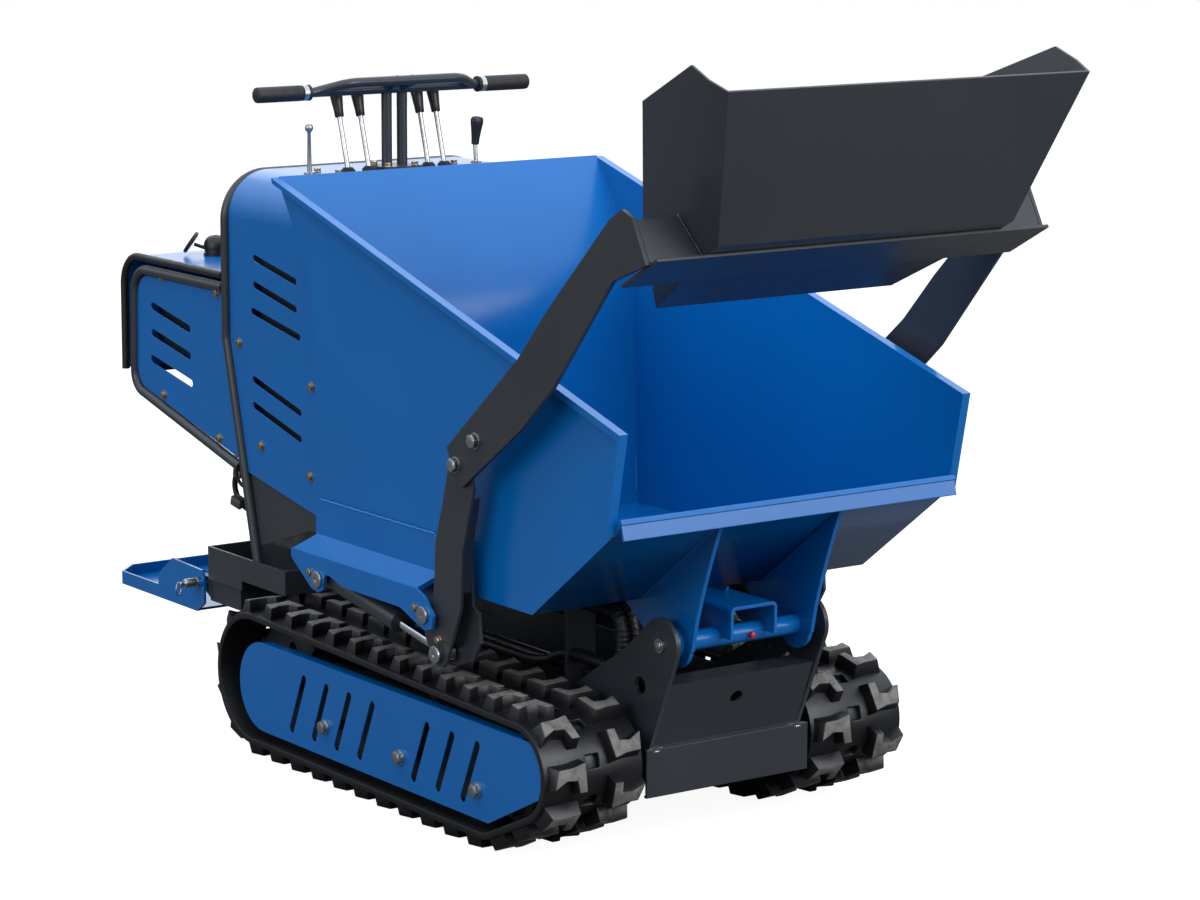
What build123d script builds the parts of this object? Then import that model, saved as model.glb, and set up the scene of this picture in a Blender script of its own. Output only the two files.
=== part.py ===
# Tracked mini dumper with a tipping skip and a self-loading shovel.
# Millimetres. +X is forward, +Y is left, +Z is up. The origin is on the ground, under the middle of
# the machine's length and width.
from build123d import *
from math import atan2, cos, degrees, hypot, pi, radians, sin, sqrt
import os

os.makedirs("parts", exist_ok=True)

sides = {"right": -1, "left": 1}

# Sheet and tube sizes
skin = 4.0
cover_sheet = 3.0
heavy_plate = 8.0
tube_r = 10.0
seat_gap = 0.3

# Rubber track
belt_outer = 380.0
belt_width = 200.0
belt_centre = belt_outer - belt_width / 2
belt_thick = 12.0
lug_height = 22.0
lug_pitch = 72.0
lug_sink = 5.0
lug_inset = 25.0
drive_wheel = (-364.0, 146.0, 124.0)
ground_roller = (398.0, 82.0, 60.0)
front_wheel = (504.0, 160.0, 87.0)
belt_wheels = [drive_wheel, ground_roller, front_wheel]

# Track frame
cheek_in = belt_centre - 34
cheek_out = belt_centre + 34
cheek_thick = 6.0
roller_r = 29.0
roller_x = [-235.0, -105.0, 25.0, 155.0, 285.0]
top_roller_x = 60.0
axle_r = 8.0
cover_y = 374.0
cover_bolts = [-110.0, 138.0, 383.0]
cover_bolt_z = 107.0

# Chassis
side_y = 161.0
tip_pin = (612.0, 370.0)
tip_pin_r = 12.5
lug_r = 46.0
cross_low = (583.0, 190.0)
cross_top = (629.0, 303.0)
tow_hole_r = 12.5
tie_hole = (555.0, 290.0)
tie_hole_r = 15.5
bumper_x = 591.0
bumper_half = 172.0
bumper_low = 103.0
bumper_top = 186.0
deck_top = 276.0
deck_rear = -664.0
deck_front = -345.0
tray_front = -359.0
tray_rear = -647.0
tray_top = 340.0

# Console and engine hood
console_half = 291.0
console_top = 1063.0
console_corner = 85.0
hoop_x = -589.0
hoop_bend_z = 750.0
hoop_foot_x = -475.0
hood_rear = -956.0
hood_front = -612.0
hood_top = 852.0

# Handlebar
bar_x = -457.0
bar_z = 1213.0
bar_half = console_half + 9.0
grip_len = 116.0
grip_r = 15.0
stem_half = 17.0
lever_ys = [-106.0, -60.0, 72.0, 108.0]

# Skip
skip_half = 352.0
flange_half = skip_half + 13.0
skip_floor = 428.0
skip_run = [(-294, 1080), (-183, 906), (-168, 770), (-156, skip_floor), (515, skip_floor), (742, 598)]
skip_front_top = (776.0, 768.0)
skip_lip = (762.0, 620.0)
doubler_y = skip_half + 6.0

# Shovel arms and their cylinders
arm_pin = (279.0, 392.0)
cylinder_pin = (-65.0, 392.0)
rod_pin = (304.0, 327.0)
pin_r = 10.0
pin_clear = 0.08
arm_in = (doubler_y + 8.0, doubler_y + 14.0)
cylinder_y = arm_in[1] + 11.0
arm_out = (cylinder_y + 11.0, cylinder_y + 17.0)
upper_arm = (arm_out[1], arm_out[1] + 8.0)
rail_in = upper_arm[1]
rail_out = rail_in + 6.0
barrel_r = 19.0
barrel_len = 226.0
rod_r = 9.0
eye_r = 17.0
eye_half = 8.0

# Tip cylinder under the skip
tip_foot = (300.0, 180.0)
tip_head = (520.0, 400.0)
tip_barrel_r = 25.0
tip_rod_r = 15.0
tip_eye_r = 18.0

# Shovel
shovel_thick = 5.0
shovel_edge = (1048.0, 365.0, 1327.0)
shovel_corner = (979.0, 323.0, 1163.0)
shovel_heel = (944.0, 300.0, 1080.0)
shovel_web = (913.0, 299.0, 1062.0)
shovel_back = (707.0, 245.0, 952.0)
shovel_rear = (791.0, 336.0, 1294.0)
shovel_tip = (962.0, 370.0, 1362.0)
shovel_fold_top = (1013.0, 375.0, 1349.0)
shovel_fold_low = (887.0, 324.0, 1136.0)

# Footplate
step_pin = (-680.0, 262.0)
step_rear = -1048.0
step_front = -672.0
step_half = 303.0
step_low = 202.0
ear_thick = 5.0
hinge_gap = 5.0
deck_half = step_half - ear_thick - hinge_gap


def offset_side(points, thick):
    """Mitred copy of an open run of points, moved to its left by thick."""
    moved = []
    for i, (x, z) in enumerate(points):
        normals = []
        for j in (i - 1, i):
            if 0 <= j < len(points) - 1:
                dx, dz = points[j + 1][0] - points[j][0], points[j + 1][1] - points[j][1]
                normals.append((-dz / hypot(dx, dz), dx / hypot(dx, dz)))
        if len(normals) == 1:
            nx, nz = normals[0]
            scale = thick
        else:
            nx, nz = normals[0][0] + normals[1][0], normals[0][1] + normals[1][1]
            scale = thick / (1 + normals[0][0] * normals[1][0] + normals[0][1] * normals[1][1])
        moved.append((x + nx * scale, z + nz * scale))
    return moved


def folded(points, thick):
    """Closed outline of a sheet folded along the points, with its thickness on their left."""
    return list(points) + offset_side(points, thick)[::-1]


def plate(outline, y_from, y_to, mode=Mode.ADD, round_r=0):
    """Flat piece in the X-Z plane, between two values of Y."""
    with BuildSketch(Plane.XZ.offset(-y_from)) as face:
        with BuildLine():
            Polyline(*outline, close=True)
        make_face()
        if round_r:
            fillet(face.vertices(), round_r)
    extrude(face.sketch, amount=y_from - y_to, mode=mode)


def round_y(centre, radius, y_from, y_to, mode=Mode.ADD):
    """Round piece along Y, between two values of Y."""
    with BuildSketch(Plane.XZ.offset(-y_from)) as face:
        with Locations(centre):
            Circle(radius)
    extrude(face.sketch, amount=y_from - y_to, mode=mode)


def block(low, high, mode=Mode.ADD):
    """Box between two corners."""
    size = [abs(b - a) for a, b in zip(low, high)]
    with Locations(tuple((a + b) / 2 for a, b in zip(low, high))):
        Box(*size, mode=mode)


def rod_between(start, end, radius, mode=Mode.ADD):
    """Round piece between two points."""
    run = Vector(*end) - Vector(*start)
    with BuildSketch(Plane(origin=start, z_dir=run)) as face:
        Circle(radius)
    extrude(face.sketch, amount=run.length, mode=mode)


def bent_tube(points, radius, bend):
    """Round bar along the points with every corner bent to one radius."""
    with BuildLine() as path:
        FilletPolyline(*points, radius=bend)
    start = Vector(*points[0])
    with BuildSketch(Plane(origin=start, z_dir=Vector(*points[1]) - start)) as face:
        Circle(radius)
    sweep(face.sketch, path=path.wire())


def save(builder, name):
    builder.part.label = name
    export_step(builder.part, f"parts/{name}.step")


def belt_runs(extra):
    """Straight runs and arcs round the track's wheels, at extra beyond the belt's outer face."""
    count = len(belt_wheels)
    normals = []
    for i in range(count):
        (x1, z1, r1), (x2, z2, r2) = belt_wheels[i], belt_wheels[(i + 1) % count]
        span = hypot(x2 - x1, z2 - z1)
        dx, dz, s = (x2 - x1) / span, (z2 - z1) / span, (r1 - r2) / span
        c = sqrt(1 - s * s)
        normals.append((dx * s + dz * c, dz * s - dx * c))
    runs = []
    for i in range(count):
        (x1, z1, r1), (x2, z2, r2) = belt_wheels[i], belt_wheels[(i + 1) % count]
        n = normals[i]
        start = (x1 + n[0] * (r1 + extra), z1 + n[1] * (r1 + extra))
        end = (x2 + n[0] * (r2 + extra), z2 + n[1] * (r2 + extra))
        runs.append(("line", start, end, n))
        m = normals[(i + 1) % count]
        first = atan2(n[1], n[0])
        turn = (atan2(m[1], m[0]) - first) % (2 * pi)
        runs.append(("arc", (x2, z2), r2 + extra, first, turn))
    return runs


def belt_loop(extra, y_from, y_to, mode=Mode.ADD):
    with BuildSketch(Plane.XZ.offset(-y_from)) as face:
        with BuildLine():
            for run in belt_runs(extra):
                if run[0] == "line":
                    Line(run[1], run[2])
                else:
                    (x, z), r, first, turn = run[1:]
                    spots = [first, first + turn / 2, first + turn]
                    ThreePointArc(*[(x + r * cos(a), z + r * sin(a)) for a in spots])
        make_face()
    extrude(face.sketch, amount=y_from - y_to, mode=mode)


def belt_length():
    total = 0
    for run in belt_runs(0):
        if run[0] == "line":
            total += hypot(run[2][0] - run[1][0], run[2][1] - run[1][1])
        else:
            total += run[2] * run[4]
    return total


def belt_at(distance):
    """Point on the belt's outer face and the outward normal's angle there."""
    left = distance % belt_length()
    for run in belt_runs(0):
        if run[0] == "line":
            (x1, z1), (x2, z2), n = run[1:]
            size = hypot(x2 - x1, z2 - z1)
            if left <= size:
                return x1 + (x2 - x1) * left / size, z1 + (z2 - z1) * left / size, atan2(n[1], n[0])
        else:
            (x, z), r, first, turn = run[1:]
            size = r * turn
            if left <= size:
                a = first + left / r
                return x + r * cos(a), z + r * sin(a), a
        left -= size
    return None


lug_count = round(belt_length() / lug_pitch)
lug_outline = [(-11, 0), (13, 0), (19, 24), (9, 44), (15, 70), (-9, 70), (-19, 46), (-13, 22)]


def lugs(side):
    """Two staggered rows of wavy lugs that stand on the belt."""
    step = belt_length() / lug_count
    for row in range(2):
        inward = -side if row == 0 else side
        edge = side * (belt_outer - lug_inset) if row == 0 else side * (belt_outer - belt_width + lug_inset)
        planes = []
        for i in range(lug_count):
            x, z, angle = belt_at((i + row / 2) * step)
            normal = Vector(cos(angle), 0, sin(angle))
            along = Vector(-sin(angle), 0, cos(angle))
            planes.append(Plane(origin=Vector(x, edge, z) - normal * lug_sink, x_dir=along, z_dir=normal))
        across = planes[0].y_dir.Y * inward
        flip = 1 if row == 0 else -1
        with BuildSketch(*planes) as pads:
            with BuildLine():
                Polyline(*[(u * flip, v * across) for u, v in lug_outline], close=True)
            make_face()
        extrude(pads.sketch, amount=lug_sink + lug_height)


for name, side in sides.items():
    with BuildPart() as track:
        belt_loop(0, side * belt_outer, side * (belt_outer - belt_width))
        belt_loop(-belt_thick, side * (belt_outer + 1), side * (belt_outer - belt_width - 1), Mode.SUBTRACT)
        lugs(side)
    save(track, f"track_{name}")

    with BuildPart() as frame:
        beam = [(-270, 118), (330, 118), (330, 178), (-270, 178)]
        plate(beam, side * (cheek_in + cheek_thick), side * (cheek_out - cheek_thick))
        inner = [(-280, 123), (340, 123), (340, 173), (-280, 173)]
        plate(inner, side * (cheek_in + cheek_thick + 5), side * (cheek_out - cheek_thick - 5), Mode.SUBTRACT)
        cheek = [(-290, 48), (398, 48), (425, 95), (535, 142), (535, 178), (-290, 178)]
        for y in (cheek_in, cheek_out - cheek_thick):
            plate(cheek, side * y, side * (y + cheek_thick), round_r=10)
        for x in (-180.0, 300.0):
            block((x - 30, min(side * side_y, side * cheek_in), 125),
                  (x + 30, max(side * side_y, side * cheek_in), 171))
        round_y((top_roller_x, 178 + 6), 10, side * cheek_in, side * (cheek_in + cheek_thick))
        for x in cover_bolts:
            round_y((x, cover_bolt_z), 9, side * cheek_out, side * (cover_y - cover_sheet))
    save(frame, f"track_frame_{name}")

    with BuildPart() as rollers:
        reach = cheek_out - cheek_thick - belt_centre
        wheels = [(x, drive_wheel[1] - drive_wheel[2] + belt_thick + roller_r + seat_gap, roller_r) for x in roller_x]
        wheels.append((ground_roller[0], ground_roller[1], ground_roller[2] - belt_thick - seat_gap))
        wheels.append((front_wheel[0], front_wheel[1], front_wheel[2] - belt_thick - seat_gap))
        for x, z, r in wheels:
            round_y((x, z), r, side * (belt_centre - 22), side * (belt_centre + 22))
            round_y((x, z), axle_r, side * (belt_centre - reach), side * (belt_centre + reach))
    save(rollers, f"rollers_{name}")

    with BuildPart() as sprocket:
        centre = drive_wheel[:2]
        tip_r = drive_wheel[2] - belt_thick - 1.0
        with BuildSketch(Plane.XZ.offset(-side * (belt_centre - 18))) as face:
            with Locations(centre):
                Circle(tip_r - 16)
                with PolarLocations(tip_r - 15, 9):
                    Rectangle(28, 26)
                with PolarLocations(52, 5):
                    Circle(13, mode=Mode.SUBTRACT)
        extrude(face.sketch, amount=-side * 36)
        round_y(centre, 45, side * (side_y + 62), side * (belt_centre + 24))
    save(sprocket, f"sprocket_{name}")

    with BuildPart() as motor:
        round_y(drive_wheel[:2], 52, side * side_y, side * (side_y + 40))
        round_y(drive_wheel[:2], 60, side * (side_y + 40), side * (side_y + 62))
    save(motor, f"drive_motor_{name}")

    with BuildPart() as cover:
        outline = [(-352, 56), (424, 53), (566, 122), (572, 166), (560, 198), (505, 221), (-326, 221),
                   (-380, 204), (-414, 150), (-398, 90)]
        plate(outline, side * (cover_y - cover_sheet), side * cover_y, round_r=12)
        block((-320, min(side * (cover_y - 22), side * cover_y), 221 - cover_sheet),
              (500, max(side * (cover_y - 22), side * cover_y), 221))
        with BuildSketch(Plane.XZ.offset(-side * (cover_y - 2 * cover_sheet))) as slots:
            with Locations(*[(x, 150) for x in (-200, -140, -50, 10, 190, 250, 310)]):
                SlotOverall(104, 13, rotation=76)
        extrude(slots.sketch, amount=-side * 3 * cover_sheet, mode=Mode.SUBTRACT)
    save(cover, f"track_cover_{name}")

# Chassis between the tracks
with BuildPart() as chassis_frame:
    side_low = 125.0
    outline = [(-660, side_low), (583, side_low), (583, 188), (655, 354), (582, 405), (509, 344), (346, 244),
               (-660, 244)]
    for side in sides.values():
        plate(outline, side * (side_y - heavy_plate), side * side_y)
        round_y(tip_pin, lug_r, side * (side_y - heavy_plate), side * side_y)
        round_y(tip_pin, tip_pin_r + pin_clear, side * (side_y - 20), side * (side_y + 20), Mode.SUBTRACT)
        round_y(tie_hole, tie_hole_r, side * (side_y - 20), side * (side_y + 20), Mode.SUBTRACT)
    inner_y = side_y - heavy_plate + 1
    cross = folded([(583, side_low + 2), (583, cross_low[1]), cross_top, (cross_top[0] - 60, cross_top[1])], 6)
    plate(cross, -inner_y, inner_y)
    block((-640, -inner_y, side_low), (560, inner_y, side_low + 6))
    block((deck_rear, -deck_half, 229), (-548, deck_half, deck_top))
    block((deck_rear + 5, -deck_half - 1, 234), (-553, deck_half + 1, deck_top - 5), Mode.SUBTRACT)
    block((-553, -side_y, 244), (deck_front, side_y, deck_top))
    block((-554, -side_y + 6, 200), (deck_front - 6, side_y - 6, deck_top - 6), Mode.SUBTRACT)
    for side in sides.values():
        plate([(step_pin[0] - 14, 250), (step_pin[0] - 14, 274), (deck_rear + 4, 274), (deck_rear + 4, 232)],
              side * (deck_half - 8), side * deck_half)
        ear = [(tip_foot[0] - 24, side_low + 5), (tip_foot[0] + 24, side_low + 5), (tip_foot[0] + 18, tip_foot[1] + 18),
               (tip_foot[0] - 18, tip_foot[1] + 18)]
        plate(ear, side * (tip_barrel_r + 2), side * (tip_barrel_r + 10))
        round_y(tip_foot, 12 + pin_clear, side * 20, side * 50, Mode.SUBTRACT)
        round_y(step_pin, 6 + pin_clear, side * (deck_half - 9), side * (deck_half + 1), Mode.SUBTRACT)
    lean = Plane(origin=((cross_low[0] + cross_top[0]) / 2, 0, (cross_low[1] + cross_top[1]) / 2 + 15),
                 z_dir=(cross_top[1] - cross_low[1], 0, cross_low[0] - cross_top[0]))
    with BuildSketch(lean) as face:
        Circle(tow_hole_r)
    extrude(face.sketch, amount=20, both=True, mode=Mode.SUBTRACT)
save(chassis_frame, "chassis_frame")

with BuildPart() as bumper:
    path = folded([(520, bumper_low), (bumper_x, bumper_low), (bumper_x, bumper_top), (583.3, bumper_top)], 5)
    plate(path, -bumper_half, bumper_half)
    block((500, -side_y - 1, 100), (583.3, side_y + 1, 140), Mode.SUBTRACT)
    block((500, -200, 90), (583.3, 200, bumper_low + 5.1), Mode.SUBTRACT)
save(bumper, "bumper")

with BuildPart() as tip_pin_bar:
    round_y(tip_pin, tip_pin_r, -side_y - 3, side_y + 3)
    for side in sides.values():
        round_y(tip_pin, tip_pin_r, side * (side_y - 2), side * (side_y + 4))
save(tip_pin_bar, "tip_pin")

tray_out = console_half + tube_r + 6
tray_low = drive_wheel[1] + drive_wheel[2] + lug_height + 2
for name, side in sides.items():
    with BuildPart() as tray:
        low, high = sorted((side * 190, side * tray_out))
        block((tray_rear, low, tray_low), (tray_front, high, tray_top))
        block((tray_rear + 4, low + 4, tray_low + 4), (tray_front - 4, high - 4, tray_top + 1), Mode.SUBTRACT)
        low, high = sorted((side * (tray_out - 4), side * tray_out))
        block((tray_rear, low, deck_top), (-520, high, tray_low + 5))
        low, high = sorted((side * 190, side * tray_out))
        block((tray_rear, low, deck_top + seat_gap), (-540, high, deck_top + 4))
        block((tray_rear, low, deck_top + seat_gap), (tray_rear + 4, high, tray_low + 5))
    save(tray, f"tray_{name}")

# Engine, console and hood
leg_slope = (hoop_foot_x - hoop_x) / (hoop_bend_z - tray_low)
with BuildPart() as engine:
    block((-668, -180, 330), (-340, 180, 730))
    for side in sides.values():
        low, high = sorted((side * 90, side * 140))
        block((-600, low, deck_top + seat_gap), (-400, high, 330))
save(engine, "engine")

with BuildPart() as hoop:
    top = console_top - 8
    points = []
    for side in (-1, 1):
        leg = [(hoop_foot_x, side * console_half, tray_low + 4 + tube_r * 0.3), (hoop_x, side * console_half, hoop_bend_z),
               (hoop_x, side * console_half, top)]
        points += leg if side < 0 else leg[::-1]
    bent_tube(points, tube_r, [60, console_corner, console_corner, 60])
save(hoop, "hoop")


def leg_x(z):
    """Middle of the hoop's slanting leg at height z."""
    return hoop_x + max(0, hoop_bend_z - z) * leg_slope


def arch(half, top, corner, mode=Mode.ADD):
    """Upright block with its two top edges rounded, from the hoop forward."""
    with BuildSketch(Plane.YZ.offset(hoop_x)) as section:
        with BuildLine():
            Polyline((-half, 380), (half, 380), (half, top), (-half, top), close=True)
        make_face()
        fillet(section.vertices().sort_by(Axis.Y)[-2:], corner)
    extrude(section.sketch, amount=450, mode=mode)


cover_back = tube_r + 1.5
console_front_run = [(-181, 442), (-191, 770), (-206, 900), (-313, console_top + 5)]
with BuildPart() as console_cover:
    arch(console_half, console_top, console_corner)
    arch(console_half - cover_sheet, console_top - cover_sheet, console_corner - cover_sheet, Mode.SUBTRACT)
    keep = [(hoop_x + cover_back, console_top + 20), (leg_x(750) + cover_back, 750), (leg_x(502) + cover_back + 1, 502),
            (-297, 463)] + console_front_run + [(-313, console_top + 20)]
    plate(keep, -400, 400, Mode.INTERSECT)
    slot_rows = [(-489, 911, -334, 881), (-490, 861, -334, 830), (-498, 811, -322, 780), (-496, 683, -321, 640),
                 (-496, 634, -321, 591)]
    for x1, z1, x2, z2 in slot_rows:
        with BuildSketch(Plane.XZ.offset(400)) as slots:
            with Locations(((x1 + x2) / 2, (z1 + z2) / 2)):
                SlotOverall(hypot(x2 - x1, z2 - z1), 13, rotation=degrees(atan2(z2 - z1, x2 - x1)))
        extrude(slots.sketch, amount=-800, mode=Mode.SUBTRACT)
save(console_cover, "console_cover")

with BuildPart() as console_front:
    run = [(x - 5, z) for x, z in console_front_run[:-1]] + [(-306, console_top - cover_sheet - 12)]
    plate(folded(run, cover_sheet), -console_half, console_half)
    inset = cover_sheet + seat_gap
    arch(console_half - inset, console_top - inset, console_corner - inset, Mode.INTERSECT)
save(console_front, "console_front")

for name, side in sides.items():
    with BuildPart() as lower_panel:
        outline = [(leg_x(520) + cover_back + 2, 520), (-290, 480), (-190, 460), (-190, 436), (-297, 425),
                   (leg_x(366) + cover_back + 2, 366)]
        plate(outline, side * (console_half - 2 * cover_sheet - seat_gap), side * (console_half - cover_sheet - seat_gap))
    save(lower_panel, f"lower_panel_{name}")

hood_tube_z = hood_top - tube_r
hood_low = (-952.0, 609.0)
with BuildPart() as hood_frame:
    for side in sides.values():
        y = side * console_half
        bent_tube([(hoop_x - tube_r, y, hood_tube_z), (hood_rear + 11, y, hood_tube_z), (hood_low[0], y, hood_low[1]),
                   (leg_x(506) - tube_r * 1.75, y, 507.5)], tube_r, [45, 40])
    for x, z in ((-944, 800), (-950, 640)):
        rod_between((x, -console_half, z), (x, console_half, z), 7)
save(hood_frame, "hood_frame")

for name, side in sides.items():
    with BuildPart() as hood_side:
        gap = tube_r + 0.5
        outline = [(hoop_x - gap, hood_tube_z - gap), (hood_rear + 11 + gap, hood_tube_z - gap),
                   (hood_low[0] + gap + 0.5, hood_low[1] + 9), (leg_x(506) - 23, 524), (leg_x(560) - gap - 2, 560),
                   (leg_x(750) - gap, 750)]
        with BuildSketch(Plane.XZ.offset(-side * (console_half - 1.5))) as face:
            with BuildLine():
                Polyline(*outline, close=True)
            make_face()
            fillet(face.vertices().sort_by(Axis.X)[:2], 42)
        extrude(face.sketch, amount=-side * 3)
        for x1, z1, x2, z2 in ((-882, 776, -728, 746), (-882, 724, -728, 694), (-886, 672, -722, 641)):
            with BuildSketch(Plane.XZ.offset(-side * (console_half - 5))) as slots:
                with Locations(((x1 + x2) / 2, (z1 + z2) / 2)):
                    SlotOverall(hypot(x2 - x1, z2 - z1), 15, rotation=degrees(atan2(z2 - z1, x2 - x1)))
            extrude(slots.sketch, amount=-side * 10, mode=Mode.SUBTRACT)
    save(hood_side, f"hood_side_{name}")

guard_x = hood_rear - 32
guard_z = hood_top + 14
with BuildPart() as hood_cover:
    run = [(hoop_x - tube_r - seat_gap, guard_z - 6), (guard_x, guard_z - 6), (guard_x, 640)]
    plate(folded(run, cover_sheet), -console_half + 6, console_half - 6)
save(hood_cover, "hood_cover")

with BuildPart() as hood_trim:
    for side in sides.values():
        y = side * (console_half + 2)
        bent_tube([(hoop_x - tube_r - seat_gap, y, guard_z), (guard_x, y, guard_z), (guard_x, y, 638)], 7.5, 60)
save(hood_trim, "hood_trim")

with BuildPart() as filler_cap:
    with Locations((-905, -133, guard_z - 6 + seat_gap + 11)):
        Cylinder(26, 22)
    with Locations((-905, -133, guard_z - 6 + seat_gap + 22)):
        Sphere(22)
save(filler_cap, "filler_cap")

# Handlebar and levers
bar_rear_z = bar_z - 12
guard_bar_x = bar_x + 41
guard_bar_z = bar_z + 18
with BuildPart() as handlebar:
    grip_inner = bar_half - grip_len
    rod_between((bar_x, -bar_half + 4, bar_z), (bar_x, bar_half - 4, bar_z), tube_r - 1)
    bent_tube([(bar_x, -grip_inner + 8, bar_z), (guard_bar_x, -grip_inner + 60, guard_bar_z),
               (guard_bar_x, grip_inner - 60, guard_bar_z), (bar_x, grip_inner - 8, bar_z)], tube_r - 1, 60)
    for side in sides.values():
        y = side * stem_half
        bent_tube([(bar_x, y, console_top + 6), (bar_x, y, guard_bar_z - 14), (guard_bar_x, y, guard_bar_z)], tube_r, 20)
    with Locations((bar_x, 0, console_top + 3.2)):
        Box(70, 84, 6)
save(handlebar, "handlebar")

with BuildPart() as grips:
    for side in sides.values():
        rod_between((bar_x, side * grip_inner, bar_z), (bar_x, side * bar_half, bar_z), grip_r)
        rod_between((bar_x, side * (grip_inner - 1), bar_z), (bar_x, side * (bar_half - 4), bar_z), tube_r - 1, Mode.SUBTRACT)
save(grips, "grips")

with BuildPart() as levers:
    for y in lever_ys:
        with Locations((-451, y, console_top + seat_gap + 4)):
            Cylinder(14, 8)
        rod_between((-451, y, console_top + 4), (-484, y, 1175), 6)
        rod_between((-480, y, 1162), (-490, y, 1210), 11)
    with Locations((-451, -190, console_top + seat_gap + 3)):
        Cylinder(12, 6)
    rod_between((-451, -190, console_top + 3), (-451, -190, console_top + 66), 4)
    with Locations((-451, -190, console_top + 72)):
        Sphere(9)
    with Locations((-451, 180, console_top + seat_gap + 3)):
        Cylinder(10, 6)
    rod_between((-451, 180, console_top + 3), (-455, 180, console_top + 40), 4)
    rod_between((-455, 180, console_top + 36), (-448, 182, console_top + 88), 12)
save(levers, "levers")

# Skip
with BuildPart() as skip_tub:
    inner = skip_half - skin + 1
    plate(folded(skip_run, skin), -inner, inner)
    rim = skip_run + [skip_front_top]
    for side in sides.values():
        plate(rim, side * (skip_half - skin), side * skip_half)
        top = [skip_front_top, skip_run[0], (skip_run[0][0] + 3, skip_run[0][1] - 10),
               (skip_front_top[0] - 10, skip_front_top[1] - 10), (skip_run[-1][0] - 8, skip_run[-1][1] + 2), skip_run[-1]]
        plate(top, side * (skip_half - 1), side * flange_half)
    lip = [(skip_run[-1][0] - 3, skip_run[-1][1] - 2), (skip_lip[0], skip_lip[1]), (skip_lip[0] - 4, skip_lip[1] + 6),
           (skip_run[-1][0] - 40, skip_run[-1][1] - 8)]
    plate(lip, -inner, inner)
    for side in sides.values():
        plate([(-162, 450), (241, 450), (241, 500), (228, 516), (-148, 516), (-162, 500)], side * (skip_half - 1),
              side * doubler_y)
save(skip_tub, "skip_tub")

for name, side in sides.items():
    with BuildPart() as rail:
        lobes = [(-156, 418), (-88, 373), (-65, 368), (-48, 376), (-41, 404), (-26, 405), (21, 393), (206, 392),
                 (262, 372), (283, 366), (304, 372), (309, 395), (279, 424), (252, 434), (-156, 434)]
        plate(lobes, side * rail_in, side * rail_out)
        plate(lobes, side * (skip_half + seat_gap), side * doubler_y)
        with BuildSketch(Plane.YZ.offset(-156)) as section:
            with BuildLine():
                Polyline((side * (doubler_y - 2), 444), (side * (doubler_y - 2), 449.5),
                         (side * (doubler_y + seat_gap), 449.5), (side * (doubler_y + seat_gap), 453),
                         (side * rail_out, 432), (side * rail_out, 424), close=True)
            make_face()
        extrude(section.sketch, amount=252 + 156)
        block((-156, min(side * (skip_half + seat_gap), side * doubler_y), 430),
              (252, max(side * (skip_half + seat_gap), side * doubler_y), 449.5))
        for pin in (arm_pin, cylinder_pin):
            round_y(pin, pin_r + pin_clear, side * (skip_half - 10), side * (rail_out + 10), Mode.SUBTRACT)
    save(rail, f"rail_{name}")

    with BuildPart() as pins:
        for pin in (arm_pin, cylinder_pin):
            round_y(pin, pin_r, side * (skip_half + seat_gap), side * (rail_out + 6))
            round_y(pin, pin_r + 5, side * (rail_out + seat_gap), side * (rail_out + 6))
    save(pins, f"arm_pins_{name}")

with BuildPart() as skip_frame:
    for side in sides.values():
        foot = [(450, skip_floor - seat_gap), (515, skip_floor - seat_gap), (732, 590), (700, 520), (672, 440), (657, 357),
                (580, 339)]
        plate(foot, side * 122, side * 130)
        round_y(tip_pin, 42, side * 122, side * 130)
        plate([(tip_head[0] - 20, skip_floor - seat_gap), (tip_head[0] - 17, 392), (tip_head[0] + 17, 392),
               (tip_head[0] + 30, skip_floor + 8), (515, skip_floor - seat_gap)], side * 24, side * 30)
        round_y(tip_head, 14, side * 24, side * 30)
    block((548, -49, 372), (644, 49, 422))
    block((540, -43, 371), (650, 43, 416), Mode.SUBTRACT)
    plate([(548, 416), (560, 416), (560, 461), (548, 452)], -49, 49)
    round_y(tip_pin, 17, -side_y + heavy_plate + 1, side_y - heavy_plate - 1)
    round_y(tip_pin, tip_pin_r + pin_clear, -200, 200, Mode.SUBTRACT)
    round_y(tip_head, 9 + pin_clear, -40, 40, Mode.SUBTRACT)
save(skip_frame, "skip_frame")

# Shovel arms
for name, side in sides.items():
    with BuildPart() as arm:
        outer = [(344, 690), (334, 646), (317, 585), (297, 526), (291, 441), (283, 410), (262, 398), (262, 352),
                 (281, 323), (300, 306), (318, 306), (331, 322), (372, 418), (378, 517), (412, 626), (387, 700)]
        plate(outer, side * arm_out[0], side * arm_out[1])
        inner = [(362, 511), (366, 418), (385, 408), (390, 358), (368, 324), (318, 306), (300, 306), (281, 323),
                 (262, 352), (262, 398), (283, 410), (291, 441), (297, 526)]
        plate(inner, side * arm_in[0], side * arm_in[1])
        flange = folded([(350, 430), (362, 442), (366, 511), (390, 606)], 6)
        plate(flange, side * (arm_in[1] - 1), side * (arm_out[0] + 1))
        round_y(arm_pin, pin_r + 6, side * arm_in[0], side * arm_out[1])
        round_y(arm_pin, pin_r + pin_clear, side * (arm_in[0] - 5), side * (arm_out[1] + 5), Mode.SUBTRACT)
        for y in (arm_in[0] - 5, arm_out[1] - 1):
            round_y(rod_pin, 13, side * y, side * (y + 6))
    save(arm, f"arm_lower_{name}")

    with BuildPart() as upper:
        outline = [(344, 690), (372, 636), (390, 628), (565, 752), (654, 831), (815, 1020), (903, 1054), (865, 1124),
                   (838, 1134), (806, 1116), (635, 952), (555, 866)]
        plate(outline, side * (upper_arm[0] + seat_gap), side * upper_arm[1])
        for x, z in ((430, 713), (371, 664)):
            round_y((x, z), 12, side * (upper_arm[1] - 1), side * (upper_arm[1] + 8))
    save(upper, f"arm_upper_{name}")


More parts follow.
